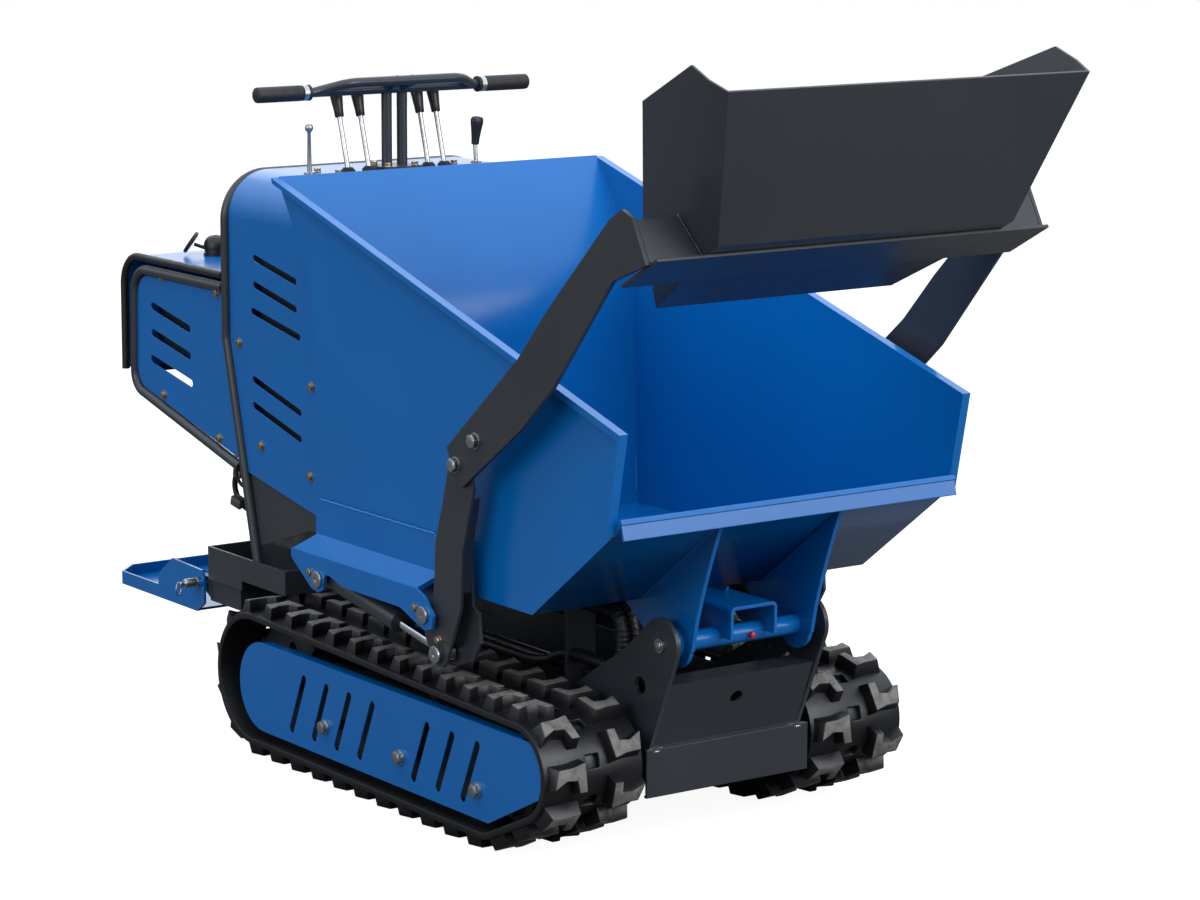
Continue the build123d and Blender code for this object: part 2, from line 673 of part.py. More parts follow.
shovel_side = [(shovel_tip, shovel_fold_top, shovel_fold_low), (shovel_edge, shovel_fold_top, shovel_corner),
               (shovel_fold_low, shovel_back, shovel_web)]


def scoop(outline, inset):
    """Block with the outline, cut on both sides by the shovel's three flared facets."""
    plate(outline, -2 * edge_half, 2 * edge_half)
    for points in shovel_side:
        for side in sides.values():
            spots = [Vector(x, side * y, z) for x, y, z in points]
            normal = (spots[1] - spots[0]).cross(spots[2] - spots[0]).normalized()
            if normal.Y * side < 0:
                normal = normal * -1
            split(bisect_by=Plane(origin=spots[0] - normal * inset, z_dir=normal), keep=Keep.BOTTOM)


edge_half = shovel_edge[1]
scoop_run = [(p[0], p[2]) for p in (shovel_back, shovel_heel, shovel_edge)]
scoop_rim = [(p[0], p[2]) for p in (shovel_tip, shovel_rear)]
with BuildPart() as scoop_space:
    inner_run = offset_side(scoop_run, shovel_thick)
    drop, climb = Vector(*scoop_run[0]) - Vector(*scoop_run[1]), Vector(*scoop_run[2]) - Vector(*scoop_run[1])
    first, last = Vector(*inner_run[0]) + drop * 0.1, Vector(*inner_run[2]) + climb * 0.3
    scoop([(first.X, first.Y), inner_run[1], (last.X, last.Y), (900, 1500), (500, 1400)], shovel_thick)
with BuildPart() as shovel:
    scoop(scoop_run + scoop_rim, 0)
    add(scoop_space.part, mode=Mode.SUBTRACT)
save(shovel, "shovel")

with BuildPart() as shovel_band:
    back_dir = Vector(shovel_back[0] - shovel_heel[0], 0, shovel_back[2] - shovel_heel[2]).normalized()
    rise = Vector(back_dir.Z, 0, -back_dir.X)
    heel = Vector(shovel_heel[0], 0, shovel_heel[2])
    flat_plane = Plane(origin=heel, x_dir=back_dir, z_dir=rise)
    with BuildSketch(flat_plane.offset(-6 - seat_gap)) as face:
        with Locations((82, 0)):
            Rectangle(108, 2 * upper_arm[0])
    extrude(face.sketch, amount=6)
save(shovel_band, "shovel_band")

# Shovel cylinders
run = Vector(rod_pin[0] - cylinder_pin[0], 0, rod_pin[1] - cylinder_pin[1])
reach = run.length
run = run.normalized()


def along(pin, direction, distance, y=0.0):
    return (pin[0] + direction.X * distance, y, pin[1] + direction.Z * distance)


for name, side in sides.items():
    y = side * cylinder_y
    with BuildPart() as barrel:
        rod_between(along(cylinder_pin, run, 4, y), along(cylinder_pin, run, barrel_len, y), barrel_r)
        round_y(cylinder_pin, barrel_r, y - 10, y + 10)
        rod_between(along(cylinder_pin, run, 26, y), along(cylinder_pin, run, barrel_len + 1, y), rod_r + pin_clear,
                    Mode.SUBTRACT)
        round_y(cylinder_pin, pin_r + pin_clear, y - 30, y + 30, Mode.SUBTRACT)
    save(barrel, f"lift_barrel_{name}")
    with BuildPart() as rod:
        rod_between(along(cylinder_pin, run, 110, y), along(cylinder_pin, run, reach - 5, y), rod_r)
        round_y(rod_pin, eye_r, y - eye_half, y + eye_half)
    save(rod, f"lift_rod_{name}")

tip_run = Vector(tip_head[0] - tip_foot[0], 0, tip_head[1] - tip_foot[1])
tip_reach = tip_run.length
tip_run = tip_run.normalized()
with BuildPart() as tip_barrel:
    rod_between(along(tip_foot, tip_run, 8), along(tip_foot, tip_run, 225), tip_barrel_r)
    round_y(tip_foot, tip_barrel_r - 3, -20, 20)
    rod_between(along(tip_foot, tip_run, 50), along(tip_foot, tip_run, 226), tip_rod_r + pin_clear, Mode.SUBTRACT)
    round_y(tip_foot, 12 + pin_clear, -40, 40, Mode.SUBTRACT)
save(tip_barrel, "tip_barrel")

with BuildPart() as tip_foot_pin:
    round_y(tip_foot, 12, -tip_barrel_r - 13, tip_barrel_r + 13)
save(tip_foot_pin, "tip_foot_pin")

with BuildPart() as tip_rod:
    rod_between(along(tip_foot, tip_run, 60), along(tip_foot, tip_run, tip_reach - 5), tip_rod_r)
    round_y(tip_head, tip_eye_r, -18, 18)
save(tip_rod, "tip_rod")

# Footplate
with BuildPart() as footplate:
    edge = step_half - 30
    with BuildSketch(Plane.XY.offset(step_low)) as face:
        with BuildLine():
            Polyline((step_front - 30, -step_half), (step_front - 30, step_half), (step_rear + 45, step_half),
                     (step_rear, step_half - 45), (step_rear, -step_half + 45), (step_rear + 45, -step_half), close=True)
        make_face()
    extrude(face.sketch, amount=26)
    with BuildSketch(Plane.XY.offset(step_low + 5)) as face:
        with BuildLine():
            Polyline((step_front - 20, -step_half + 4), (step_front - 20, step_half - 4),
                     (step_rear + 47, step_half - 4), (step_rear + 4, step_half - 47),
                     (step_rear + 4, -step_half + 47), (step_rear + 47, -step_half + 4), close=True)
        make_face()
    extrude(face.sketch, amount=30, mode=Mode.SUBTRACT)
    for side in sides.values():
        ear = [(step_front, 222), (step_front, 276), (step_front - 10, 286), (-796, 290), (-853, 250),
               (-853, step_low), (-700, step_low)]
        plate(ear, side * (step_half - ear_thick), side * step_half)
        round_y(step_pin, 6, side * (deck_half - 9), side * (step_half + 3))
    with Locations(*[(x, y, step_low) for x in (-985, -925, -865) for y in (-200, -120, -40, 40, 120, 200)]):
        Box(34, 10, 20, mode=Mode.SUBTRACT)
save(footplate, "footplate")
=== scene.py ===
import bpy
from math import atan2, cos, hypot, pi, radians, sin
from mathutils import Matrix, Vector


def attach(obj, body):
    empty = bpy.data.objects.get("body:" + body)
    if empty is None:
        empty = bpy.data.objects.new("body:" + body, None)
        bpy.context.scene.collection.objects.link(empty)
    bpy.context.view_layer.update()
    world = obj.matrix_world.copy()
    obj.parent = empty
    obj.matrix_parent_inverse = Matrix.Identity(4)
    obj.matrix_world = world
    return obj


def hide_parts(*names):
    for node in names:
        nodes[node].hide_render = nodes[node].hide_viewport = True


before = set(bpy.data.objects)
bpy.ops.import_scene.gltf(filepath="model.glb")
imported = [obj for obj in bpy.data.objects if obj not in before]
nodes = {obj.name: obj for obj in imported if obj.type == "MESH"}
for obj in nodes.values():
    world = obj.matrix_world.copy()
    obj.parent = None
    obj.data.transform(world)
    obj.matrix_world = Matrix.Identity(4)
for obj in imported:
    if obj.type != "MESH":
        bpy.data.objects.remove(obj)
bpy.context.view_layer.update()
bpy.ops.object.select_all(action="DESELECT")
sides = {"Right": -1, "Left": 1}

# camera, floor and light

camera = {"place": (5.41885, -3.71643, 1.78154), "azimuth": 54.482, "elevation": 10.262, "roll": 0.207,
          "lens": 110.87, "sensor": 36, "reach": 60}


def addCamera():
    data = bpy.data.cameras.new("camera")
    data.sensor_width = camera["sensor"]
    data.lens = camera["lens"]
    data.clip_end = camera["reach"]
    obj = bpy.data.objects.new("camera", data)
    bpy.context.scene.collection.objects.link(obj)
    az, el, roll = (radians(camera[k]) for k in ("azimuth", "elevation", "roll"))
    back = Vector((sin(az) * cos(el), -cos(az) * cos(el), sin(el)))
    right = (-back).cross(Vector((0, 0, 1))).normalized()
    up = right.cross(-back)
    across = right * cos(roll) + up * sin(roll)
    head = up * cos(roll) - right * sin(roll)
    aimed = Matrix((across, head, back)).transposed().to_4x4()
    obj.matrix_world = Matrix.Translation(camera["place"]) @ aimed
    bpy.context.scene.camera = obj


addCamera()
bpy.context.scene.view_settings.view_transform = "Standard"


def colour(code):  # sRGB hex to the linear colour that a socket takes
    parts = [int(code[i:i + 2], 16) / 255 for i in (0, 2, 4)]
    return tuple(c / 12.92 if c < 0.04045 else ((c + 0.055) / 1.055) ** 2.4 for c in parts) + (1.0,)


def addNode(tree, kind, values=None, links=None, **settings):  # one node with its settings and links
    node = tree.nodes.new(kind)
    for key, value in settings.items():
        setattr(node, key, value)
    for key, value in (values or {}).items():
        node.inputs[key].default_value = value
    for key, source in (links or {}).items():
        tree.links.new(source, node.inputs[key])
    return node


def addMath(tree, operation, first, second=None):  # sums on sockets; a plain number goes in as a value
    values, links = {}, {}
    for key, given in enumerate((first, second)):
        if isinstance(given, (int, float)):
            values[key] = given
        elif given is not None:
            links[key] = given
    return addNode(tree, "ShaderNodeMath", values, links, operation=operation).outputs[0]


light = {
    "sky": "E4ECF4", "skyLow": 0.30, "skyHigh": 1.60, "skyRise": (0.05, 0.6),
    "floorRadius": 14, "floorBounce": 0.10, "floorPale": 0.20, "floorGlow": 0.93,
    "lamps": {  # place, target, size in metres, power in watts
        "topLight": ((0.2, -0.3, 4.2), (0, 0, 0.5), (4.5, 3.5), 95),
        "frontLight": ((4.6, 0.6, 2.6), (0.2, 0, 0.6), (2.6, 2.2), 118),
        "sideLight": ((0.6, -5.2, 2.2), (0, 0, 0.6), (3.2, 2.0), 66),
        "rearLight": ((-5.5, 3.4, 2.6), (0, 0, 0.9), (6.0, 4.0), 75),
        "leftLight": ((3.9, 2.4, 1.6), (0.7, 0, 0.6), (2.2, 1.2), 18),
    },
}


def addLamp(name, place, target, size, power):
    data = bpy.data.lights.new(name, "AREA")
    data.shape = "RECTANGLE"
    data.size, data.size_y = size
    data.energy = power
    obj = bpy.data.objects.new(name, data)
    bpy.context.scene.collection.objects.link(obj)
    aim = Vector(target) - Vector(place)
    obj.matrix_world = Matrix.Translation(place) @ aim.to_track_quat("-Z", "Y").to_matrix().to_4x4()
    obj.visible_camera = False
    obj.visible_glossy = name != "topLight"  # the sky is what shows in the level sheets


def addSky():  # white to the camera; to the object a room that is brighter towards the top
    world = bpy.data.worlds.new("studio")
    bpy.context.scene.world = world
    world.use_nodes = True
    tree = world.node_tree
    tree.nodes.clear()
    rays = addNode(tree, "ShaderNodeLightPath").outputs
    seen = addMath(tree, "MAXIMUM", rays["Is Camera Ray"], rays["Is Transmission Ray"])
    way = addNode(tree, "ShaderNodeTexCoord").outputs["Generated"]
    height = addNode(tree, "ShaderNodeSeparateXYZ", links={0: way}).outputs["Z"]
    low, high = light["skyRise"]
    glow = addNode(tree, "ShaderNodeMapRange", {"From Min": low, "From Max": high, "To Min": light["skyLow"],
                                                "To Max": light["skyHigh"]}, {"Value": height}).outputs["Result"]
    room = addNode(tree, "ShaderNodeBackground", {"Color": colour(light["sky"])}, {"Strength": glow})
    white = addNode(tree, "ShaderNodeBackground", {"Color": (1, 1, 1, 1), "Strength": 1.0})
    both = addNode(tree, "ShaderNodeMixShader", links={0: seen, 1: room.outputs[0], 2: white.outputs[0]})
    addNode(tree, "ShaderNodeOutputWorld", links={0: both.outputs[0]})


def addFloor():  # near white with a faint shadow to the camera, a dim grey in reflections and bounces
    bpy.ops.mesh.primitive_circle_add(vertices=64, radius=light["floorRadius"], fill_type="NGON",
                                      location=(0, 0, 0))
    floor = bpy.context.object
    floor.name = "floor"
    material = bpy.data.materials.new("paleFloor")
    material.use_nodes = True
    tree = material.node_tree
    tree.nodes.clear()
    rays = addNode(tree, "ShaderNodeLightPath").outputs
    pale = addNode(tree, "ShaderNodeBsdfDiffuse", {"Color": (light["floorPale"],) * 3 + (1,)})
    glow = addNode(tree, "ShaderNodeEmission", {"Color": (1, 1, 1, 1), "Strength": light["floorGlow"]})
    white = addNode(tree, "ShaderNodeAddShader", links={0: pale.outputs[0], 1: glow.outputs[0]})
    dim = addNode(tree, "ShaderNodeBsdfDiffuse", {"Color": (light["floorBounce"],) * 3 + (1,)})
    skin = addNode(tree, "ShaderNodeMixShader", links={0: rays["Is Camera Ray"], 1: dim.outputs[0],
                                                       2: white.outputs[0]})
    addNode(tree, "ShaderNodeOutputMaterial", links={0: skin.outputs[0]})
    floor.data.materials.append(material)
    bpy.ops.object.select_all(action="DESELECT")


for name, how in light["lamps"].items():
    addLamp(name, *how)
addSky()
addFloor()
print("studio ready")

# materials: object coordinates are metres, so a noise of scale 1 / size has features of that size


def newMaterial(name):
    material = bpy.data.materials.new(name)
    material.use_nodes = True
    tree = material.node_tree
    tree.nodes.clear()
    where = addNode(tree, "ShaderNodeTexCoord").outputs["Object"]
    shader = addNode(tree, "ShaderNodeBsdfPrincipled")
    addNode(tree, "ShaderNodeOutputMaterial", links={0: shader.outputs[0]})
    return material, tree, where, shader


def noiseAt(tree, where, size, detail, rough=0.55):  # noise with features of one real size in metres
    return addNode(tree, "ShaderNodeTexNoise", {"Scale": 1 / size, "Detail": detail, "Roughness": rough},
                   {"Vector": where}).outputs["Fac"]


def ramp(tree, source, low, high, first=0.0, last=1.0):  # a stretch of a noise, spread over the values asked for
    return addNode(tree, "ShaderNodeMapRange", {"From Min": low, "From Max": high, "To Min": first, "To Max": last},
                   {"Value": source}).outputs["Result"]


def tint(tree, shader, amount, first, second):  # base colour between two hex colours
    node = addNode(tree, "ShaderNodeMix", {6: colour(first), 7: colour(second)}, {0: amount}, data_type="RGBA")
    tree.links.new(node.outputs[2], shader.inputs["Base Color"])


def roughen(tree, shader, height, depth, strength):
    bump = addNode(tree, "ShaderNodeBump", {"Strength": strength, "Distance": depth}, {"Height": height})
    tree.links.new(bump.outputs[0], shader.inputs["Normal"])


paint = {
    "bluePowderCoat": {"base": "015EA6", "shade": "015BA1", "rough": (0.20, 0.25), "coat": 0.10},
    "greyPowderCoat": {"base": "2D3136", "shade": "292D32", "rough": (0.34, 0.42), "coat": 0.08},
}
coat = {"drift": 0.30, "dust": 0.045, "peel": 0.014, "peelDepth": 0.0003, "peelStrength": 0.06, "rough": 0.12}


def powderCoat(name):  # polyester powder coat on steel sheet: glossy, with a fine orange peel and a little dust
    look = paint[name]
    material, tree, where, shader = newMaterial(name)
    drift = noiseAt(tree, where, coat["drift"], 2)
    dust = noiseAt(tree, where, coat["dust"], 6, 0.7)
    tint(tree, shader, ramp(tree, drift, 0.35, 0.7), look["base"], look["shade"])
    tree.links.new(ramp(tree, dust, 0.35, 0.75, *look["rough"]), shader.inputs["Roughness"])
    shader.inputs["Coat Weight"].default_value = look["coat"]
    shader.inputs["Coat Roughness"].default_value = coat["rough"]
    peel = noiseAt(tree, where, coat["peel"], 1)  # real peel is about 2 mm, drawn coarser so that it shows
    roughen(tree, shader, peel, coat["peelDepth"], coat["peelStrength"])
    return material


rubber = {"base": "0F0F12", "worn": "767472", "rough": (0.40, 0.8), "scuff": 0.02, "grain": 0.0025,
          "mouldLine": 0.0045, "depth": 0.0006, "strength": 0.6}


def trackRubber():  # moulded tyre-grade rubber, dull black, scuffed grey and finely lined on the tops of the lugs
    material, tree, where, shader = newMaterial("mouldedTrackRubber")
    worn = addNode(tree, "ShaderNodeAttribute", attribute_name="worn").outputs["Fac"]
    scuff = ramp(tree, noiseAt(tree, where, rubber["scuff"], 6, 0.7), 0.3, 0.6, 0.3, 1.0)
    grain = noiseAt(tree, where, rubber["grain"], 4, 0.7)
    grey = addMath(tree, "MULTIPLY", worn, scuff)
    tint(tree, shader, grey, rubber["base"], rubber["worn"])
    tree.links.new(ramp(tree, grey, 0, 1, *rubber["rough"]), shader.inputs["Roughness"])
    across = addNode(tree, "ShaderNodeSeparateXYZ", links={0: where}).outputs["Y"]
    lines = addMath(tree, "SINE", addMath(tree, "MULTIPLY", across, 2 * pi / rubber["mouldLine"]))
    marked = addMath(tree, "MULTIPLY", lines, worn)
    roughen(tree, shader, addMath(tree, "ADD", marked, grain), rubber["depth"], rubber["strength"])
    return material


plain = {
    "zincPlate": {"base": "C9CCCB", "shade": "9A9C9A", "metal": 1.0, "rough": (0.24, 0.42), "size": 0.006,
                  "grain": 0.0012},  # bright zinc on bolts and pins, cloudy
    "yellowZinc": {"base": "CDBB96", "shade": "9A8F78", "metal": 1.0, "rough": (0.26, 0.42), "size": 0.005,
                   "grain": 0.0012},  # yellow passivated zinc, faded
    "hardChrome": {"base": "DADCDE", "shade": "C2C6C9", "metal": 1.0, "rough": (0.06, 0.14), "size": 0.05,
                   "grain": 0.0008},  # ground and chromed cylinder rod
    "drawnSteel": {"base": "CDCFCF", "shade": "B9BBBB", "metal": 1.0, "rough": (0.30, 0.38), "size": 0.03,
                   "grain": 0.006},  # bright drawn lever rod
    "castAluminium": {"base": "7C7D7B", "shade": "4C4B48", "metal": 0.9, "rough": (0.45, 0.65), "size": 0.03,
                      "grain": 0.0015},  # sand cast, grainy
    "blackNylon": {"base": "18191B", "shade": "111213", "metal": 0.0, "rough": (0.34, 0.5), "size": 0.02,
                   "grain": 0.0009},  # moulded knobs, caps and edge trim
    "gripRubber": {"base": "1C1D20", "shade": "141517", "metal": 0.0, "rough": (0.5, 0.66), "size": 0.02,
                   "grain": 0.0015},  # soft moulded rubber, dull
    "hoseRubber": {"base": "16171A", "shade": "0F1011", "metal": 0.0, "rough": (0.38, 0.55), "size": 0.02,
                   "grain": 0.001},  # extruded hose cover
    "redCap": {"base": "C3201B", "shade": "A31914", "metal": 0.0, "rough": (0.3, 0.4), "size": 0.004,
               "grain": 0.001},  # polythene cap on a grease nipple
}


def plainFinish(name):
    look = plain[name]
    material, tree, where, shader = newMaterial(name)
    cloud = noiseAt(tree, where, look["size"], 4, 0.6)
    tint(tree, shader, ramp(tree, cloud, 0.35, 0.7), look["base"], look["shade"])
    shader.inputs["Metallic"].default_value = look["metal"]
    tree.links.new(ramp(tree, cloud, 0.3, 0.75, *look["rough"]), shader.inputs["Roughness"])
    roughen(tree, shader, noiseAt(tree, where, look["grain"], 2), 0.0003, 0.12)
    return material


finish = {name: powderCoat(name) for name in paint}
finish["mouldedTrackRubber"] = trackRubber()
finish.update({name: plainFinish(name) for name in plain})


def pair(*stems):  # the names of the right and the left node of each stem
    return [stem + "_" + tag.lower() for stem in stems for tag in sides]


wears = {
    "bluePowderCoat": pair("track_cover", "hood_side", "rail") + ["console_cover", "console_front", "hood_cover",
                                                                  "skip_tub", "skip_frame", "footplate"],
    "hardChrome": pair("lift_rod") + ["tip_rod"],
    "zincPlate": pair("arm_pins") + ["tip_pin", "tip_foot_pin"],
    "blackNylon": ["hood_trim", "filler_cap", "levers"],
    "gripRubber": ["grips"],
    "castAluminium": ["engine"],
}
for nodeName, node in nodes.items():
    given = [look for look, group in wears.items() if nodeName in group] or ["greyPowderCoat"]
    node.data.materials.clear()
    node.data.materials.append(finish[given[0]])
print("finishes on the carried-over nodes")

# small tools for modelling by hand


def objectMode():
    bpy.ops.object.mode_set(mode="OBJECT")


def pickOnly(obj):
    if bpy.context.object and bpy.context.object.mode != "OBJECT":
        objectMode()
    bpy.ops.object.select_all(action="DESELECT")
    obj.select_set(True)
    bpy.context.view_layer.objects.active = obj


def editAll(obj):  # into edit mode with everything selected
    pickOnly(obj)
    bpy.ops.object.mode_set(mode="EDIT")
    bpy.ops.mesh.select_all(action="SELECT")


def pickFaces(obj, wanted):  # into edit mode with the faces that a test on centre and normal takes
    pickOnly(obj)
    for part in (obj.data.vertices, obj.data.edges, obj.data.polygons):
        part.foreach_set("select", [False] * len(part))
    for face in obj.data.polygons:
        face.select = bool(wanted(face.center, face.normal))
    bpy.ops.object.mode_set(mode="EDIT")
    bpy.ops.mesh.select_mode(type="FACE")


def pull(shift):  # extrudes the picked faces
    bpy.ops.mesh.extrude_region_move(TRANSFORM_OT_translate={"value": shift})


def outward(obj):  # turns every face's normal out, and leaves edit mode
    editAll(obj)
    bpy.ops.mesh.normals_make_consistent(inside=False)
    objectMode()
    return obj


def settle(obj):  # the place goes into the mesh
    pickOnly(obj)
    bpy.ops.object.transform_apply(location=True, rotation=True, scale=True)
    return obj


def modified(obj, kind, **settings):
    pickOnly(obj)
    mod = obj.modifiers.new(kind.lower(), kind)
    for key, value in settings.items():
        setattr(mod, key, value)
    bpy.ops.object.modifier_apply(modifier=mod.name)
    return obj


def bevelled(obj, width, angle, **settings):  # rounds the edges that are sharper than an angle in degrees
    return modified(obj, "BEVEL", width=width, segments=2, limit_method="ANGLE", angle_limit=radians(angle), **settings)


def smooth(obj, angle):
    pickOnly(obj)
    bpy.ops.object.shade_smooth_by_angle(angle=radians(angle))
    return obj


def joined(parts):
    pickOnly(parts[0])
    for part in parts:
        part.select_set(True)
    if len(parts) > 1:
        bpy.ops.object.join()
    return parts[0]


def copied(model, matrix):  # a copy with its own mesh, its place in the mesh
    obj = model.copy()
    obj.data = model.data.copy()
    bpy.context.scene.collection.objects.link(obj)
    obj.data.transform(matrix)
    return obj


def removed(*models):
    for model in models:
        bpy.data.objects.remove(model)


def standing(place, direction, turn=0.0):  # matrix that stands a model's +Z along a direction
    aim = Vector(direction).to_track_quat("Z", "Y").to_matrix().to_4x4()
    return Matrix.Translation(place) @ aim @ Matrix.Rotation(turn, 4, "Z")


def across(side, point):  # a point of the left side, on the side asked for
    return point[0], sides[side] * point[1], point[2]


def dress(obj, name, look, body, replaced=None):  # name, finish, body and the CAD node that it hides; no look keeps the finish
    obj.name = name
    if look:
        obj.data.materials.clear()
        obj.data.materials.append(finish[look])
    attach(obj, body)
    if replaced:
        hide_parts(replaced)
    return obj


# tracks: a belt with drive windows and two staggered rows of hooked lugs; a lug's outlines are in millimetres

track = {
    "wheels": ((-0.364, 0.146, 0.124), (0.398, 0.082, 0.060), (0.504, 0.160, 0.087)), "outer": 0.380, "width": 0.200,
    "thick": 0.012, "pitch": 0.072, "height": 0.022, "windowHalf": 0.013, "beltRound": 0.0018, "lugRound": 0.0016,
    "sunk": 0.004, "facets": 6, "windowAt": 0.25, "wornDepth": 0.0010, "wornBlend": 0.0008,
    "top": ((17, 16), (-15, 8), (-3, 32), (-5, 53), (-26, 56), (-26, 72), (24, 69), (18, 44)),
    "foot": ((22, 8), (-20, 4), (-7, 32), (-9, 51), (-29, 54), (-29, 74), (27, 72), (22, 44)),
}


def beltRuns():  # straight runs and arcs round the wheels, on the belt's outer face
    wheels = track["wheels"]
    spans = [(wheels[i], wheels[(i + 1) % 3]) for i in range(3)]
    normals = []
    for (x1, z1, r1), (x2, z2, r2) in spans:
        span = hypot(x2 - x1, z2 - z1)
        dx, dz, s = (x2 - x1) / span, (z2 - z1) / span, (r1 - r2) / span
        c = (1 - s * s) ** 0.5
        normals.append((dx * s + dz * c, dz * s - dx * c))
    runs = []
    for i, ((x1, z1, r1), (x2, z2, r2)) in enumerate(spans):
        n, m = normals[i], normals[(i + 1) % 3]
        start = Vector((x1 + n[0] * r1, 0, z1 + n[1] * r1))
        end = Vector((x2 + n[0] * r2, 0, z2 + n[1] * r2))
        first = atan2(n[1], n[0])
        runs.append(("straight", (end - start).length, start, end, first))
        turn = (atan2(m[1], m[0]) - first) % (2 * pi)
        runs.append(("round", r2 * turn, Vector((x2, 0, z2)), r2, first))
    return runs


beltPath = beltRuns()
beltLength = sum(run[1] for run in beltPath)
lugCount = round(beltLength / track["pitch"])
lugStep = beltLength / lugCount


def beltAt(distance):  # point on the belt's outer face and the outward direction there
    rest = distance % beltLength
    for kind, size, a, b, c in beltPath:
        if rest <= size:
            if kind == "straight":
                return a.lerp(b, rest / size), Vector((cos(c), 0, sin(c)))
            angle = c + rest / b
            away = Vector((cos(angle), 0, sin(angle)))
            return a + away * b, away
        rest -= size
    return beltAt(0)


def beltMatrix(distance, edge, inward):  # from a lug's own frame to its place on the belt
    place, away = beltAt(distance)
    ahead = Vector((-away.z, 0, away.x))
    aimed = Matrix((ahead * inward, Vector((0, inward, 0)), away)).transposed().to_4x4()
    return Matrix.Translation((place.x, edge, place.z)) @ aimed


def addBelt(side):
    middle = sides[side] * (track["outer"] - track["width"] / 2)
    half = track["windowHalf"]
    bpy.ops.mesh.primitive_cylinder_add(vertices=lugCount * track["facets"], radius=1, depth=track["width"],
                                        end_fill_type="NOTHING", rotation=(pi / 2, 0, 0))
    belt = settle(bpy.context.object)
    for vertex in belt.data.vertices:
        turn = atan2(vertex.co.z, vertex.co.x) / (2 * pi)
        place = beltAt((turn % 1.0) * beltLength)[0]
        vertex.co = (place.x, middle + vertex.co.y, place.z)
    editAll(belt)
    for shift in (-half, half):
        bpy.ops.mesh.select_all(action="SELECT")
        bpy.ops.mesh.bisect(plane_co=(0, middle + shift, 0), plane_no=(0, 1, 0))
    objectMode()
    spots = [beltAt((i + track["windowAt"]) * lugStep)[0] for i in range(lugCount)]
    pickFaces(belt, lambda c, n: abs(c.y - middle) < half and
              min((Vector((c.x, 0, c.z)) - s).length for s in spots) < lugStep / 5)
    bpy.ops.mesh.delete(type="FACE")
    modified(outward(belt), "SOLIDIFY", thickness=track["thick"], offset=-1)
    return smooth(bevelled(belt, track["beltRound"], 50), 40)


def makeLug():  # top outline drawn, walls pulled down to a wider foot, edges rounded
    top, foot = ([(u / 1000, v / 1000) for u, v in track[key]] for key in ("top", "foot"))
    bpy.ops.mesh.primitive_circle_add(vertices=len(top), radius=0.03, fill_type="NGON")
    lug = bpy.context.object
    for vertex, (u, v) in zip(lug.data.vertices, top):
        vertex.co = (u, v, track["height"])
    pickFaces(lug, lambda c, n: True)
    pull((0, 0, -track["height"] - track["sunk"]))
    objectMode()
    for vertex in lug.data.vertices:
        if vertex.co.z < 0:
            near = min(range(len(top)), key=lambda i: hypot(vertex.co.x - top[i][0], vertex.co.y - top[i][1]))
            vertex.co = (*foot[near], -track["sunk"])
    bevelled(outward(lug), track["lugRound"], 25)
    smooth(lug, 40)
    worn = lug.data.attributes.new("worn", "FLOAT", "POINT")
    for i, vertex in enumerate(lug.data.vertices):
        share = (vertex.co.z - track["height"] + track["wornDepth"]) / track["wornBlend"]
        worn.data[i].value = min(1, max(0, share))
    return lug


def addTrack(side, lug):
    low, high = sorted((sides[side] * track["outer"], sides[side] * (track["outer"] - track["width"])))
    parts = [addBelt(side)]
    parts[0].data.attributes.new("worn", "FLOAT", "POINT")
    for row, (edge, inward) in enumerate(((low, 1), (high, -1))):
        for i in range(lugCount):
            parts.append(copied(lug, beltMatrix((i + row / 2) * lugStep, edge, inward)))
    dress(joined(parts), "trackLoop" + side, "mouldedTrackRubber", "base", "track_" + side.lower())


lugModel = makeLug()
for side in sides:
    addTrack(side, lugModel)
removed(lugModel)
print("tracks ready")

# sheet, plate and tube from the CAD, with rounded edges: body, the round's width in metres and the nodes;
# the cylinders' parts are bodies of their own, named as their nodes

rounded = (
    ("skip", 0.0012, ["skip_tub"]), ("skip", 0.0016, pair("rail")), ("step", 0.0012, ["footplate"]),
    ("arms", 0.0012, pair("arm_lower", "arm_upper") + ["shovel", "shovel_band"]),
    ("base", 0.0012, pair("tray") + ["chassis_frame", "bumper"]), ("base", 0.001, pair("track_frame")),
    ("base", 0.0009, pair("hood_side", "lower_panel") + ["console_cover", "console_front", "hood_cover"]),
    ("base", 0, ["hoop", "hood_frame", "hood_trim", "handlebar"]), ("base", 0.002, pair("rollers", "sprocket")),
    ("own", 0.0012, pair("lift_barrel") + ["tip_barrel"]), ("own", 0.001, pair("lift_rod") + ["tip_rod"]),
)
clean = {"near": 0.00002, "flat": 0.4, "sharp": 38}  # metres between doubled points, degrees of flats and edges


def softened(piece, width):  # clean faces, round edges of one width, smooth shading that keeps flats flat
    editAll(piece)
    bpy.ops.mesh.remove_doubles(threshold=clean["near"])
    bpy.ops.mesh.dissolve_limited(angle_limit=radians(clean["flat"]))
    objectMode()
    if width:
        bevelled(piece, width, clean["sharp"], use_clamp_overlap=True, loop_slide=False)
    return modified(smooth(piece, clean["sharp"]), "WEIGHTED_NORMAL", keep_sharp=True)


def roundEdges(nodeName, body, width):
    piece = copied(nodes[nodeName], Matrix.Identity(4))
    piece.parent = None
    for key in list(piece.keys()):
        del piece[key]
    dress(softened(piece, width), nodeName + ".rounded", None, nodeName if body == "own" else body, nodeName)


for body, width, group in rounded:
    for nodeName in group:
        roundEdges(nodeName, body, width)
print("rounded edges ready")

# sheet metal drawn here: track covers, the skip's tipping bracket, lip and seam strips, webs on the arms, deck
# ends, baffles behind the slots


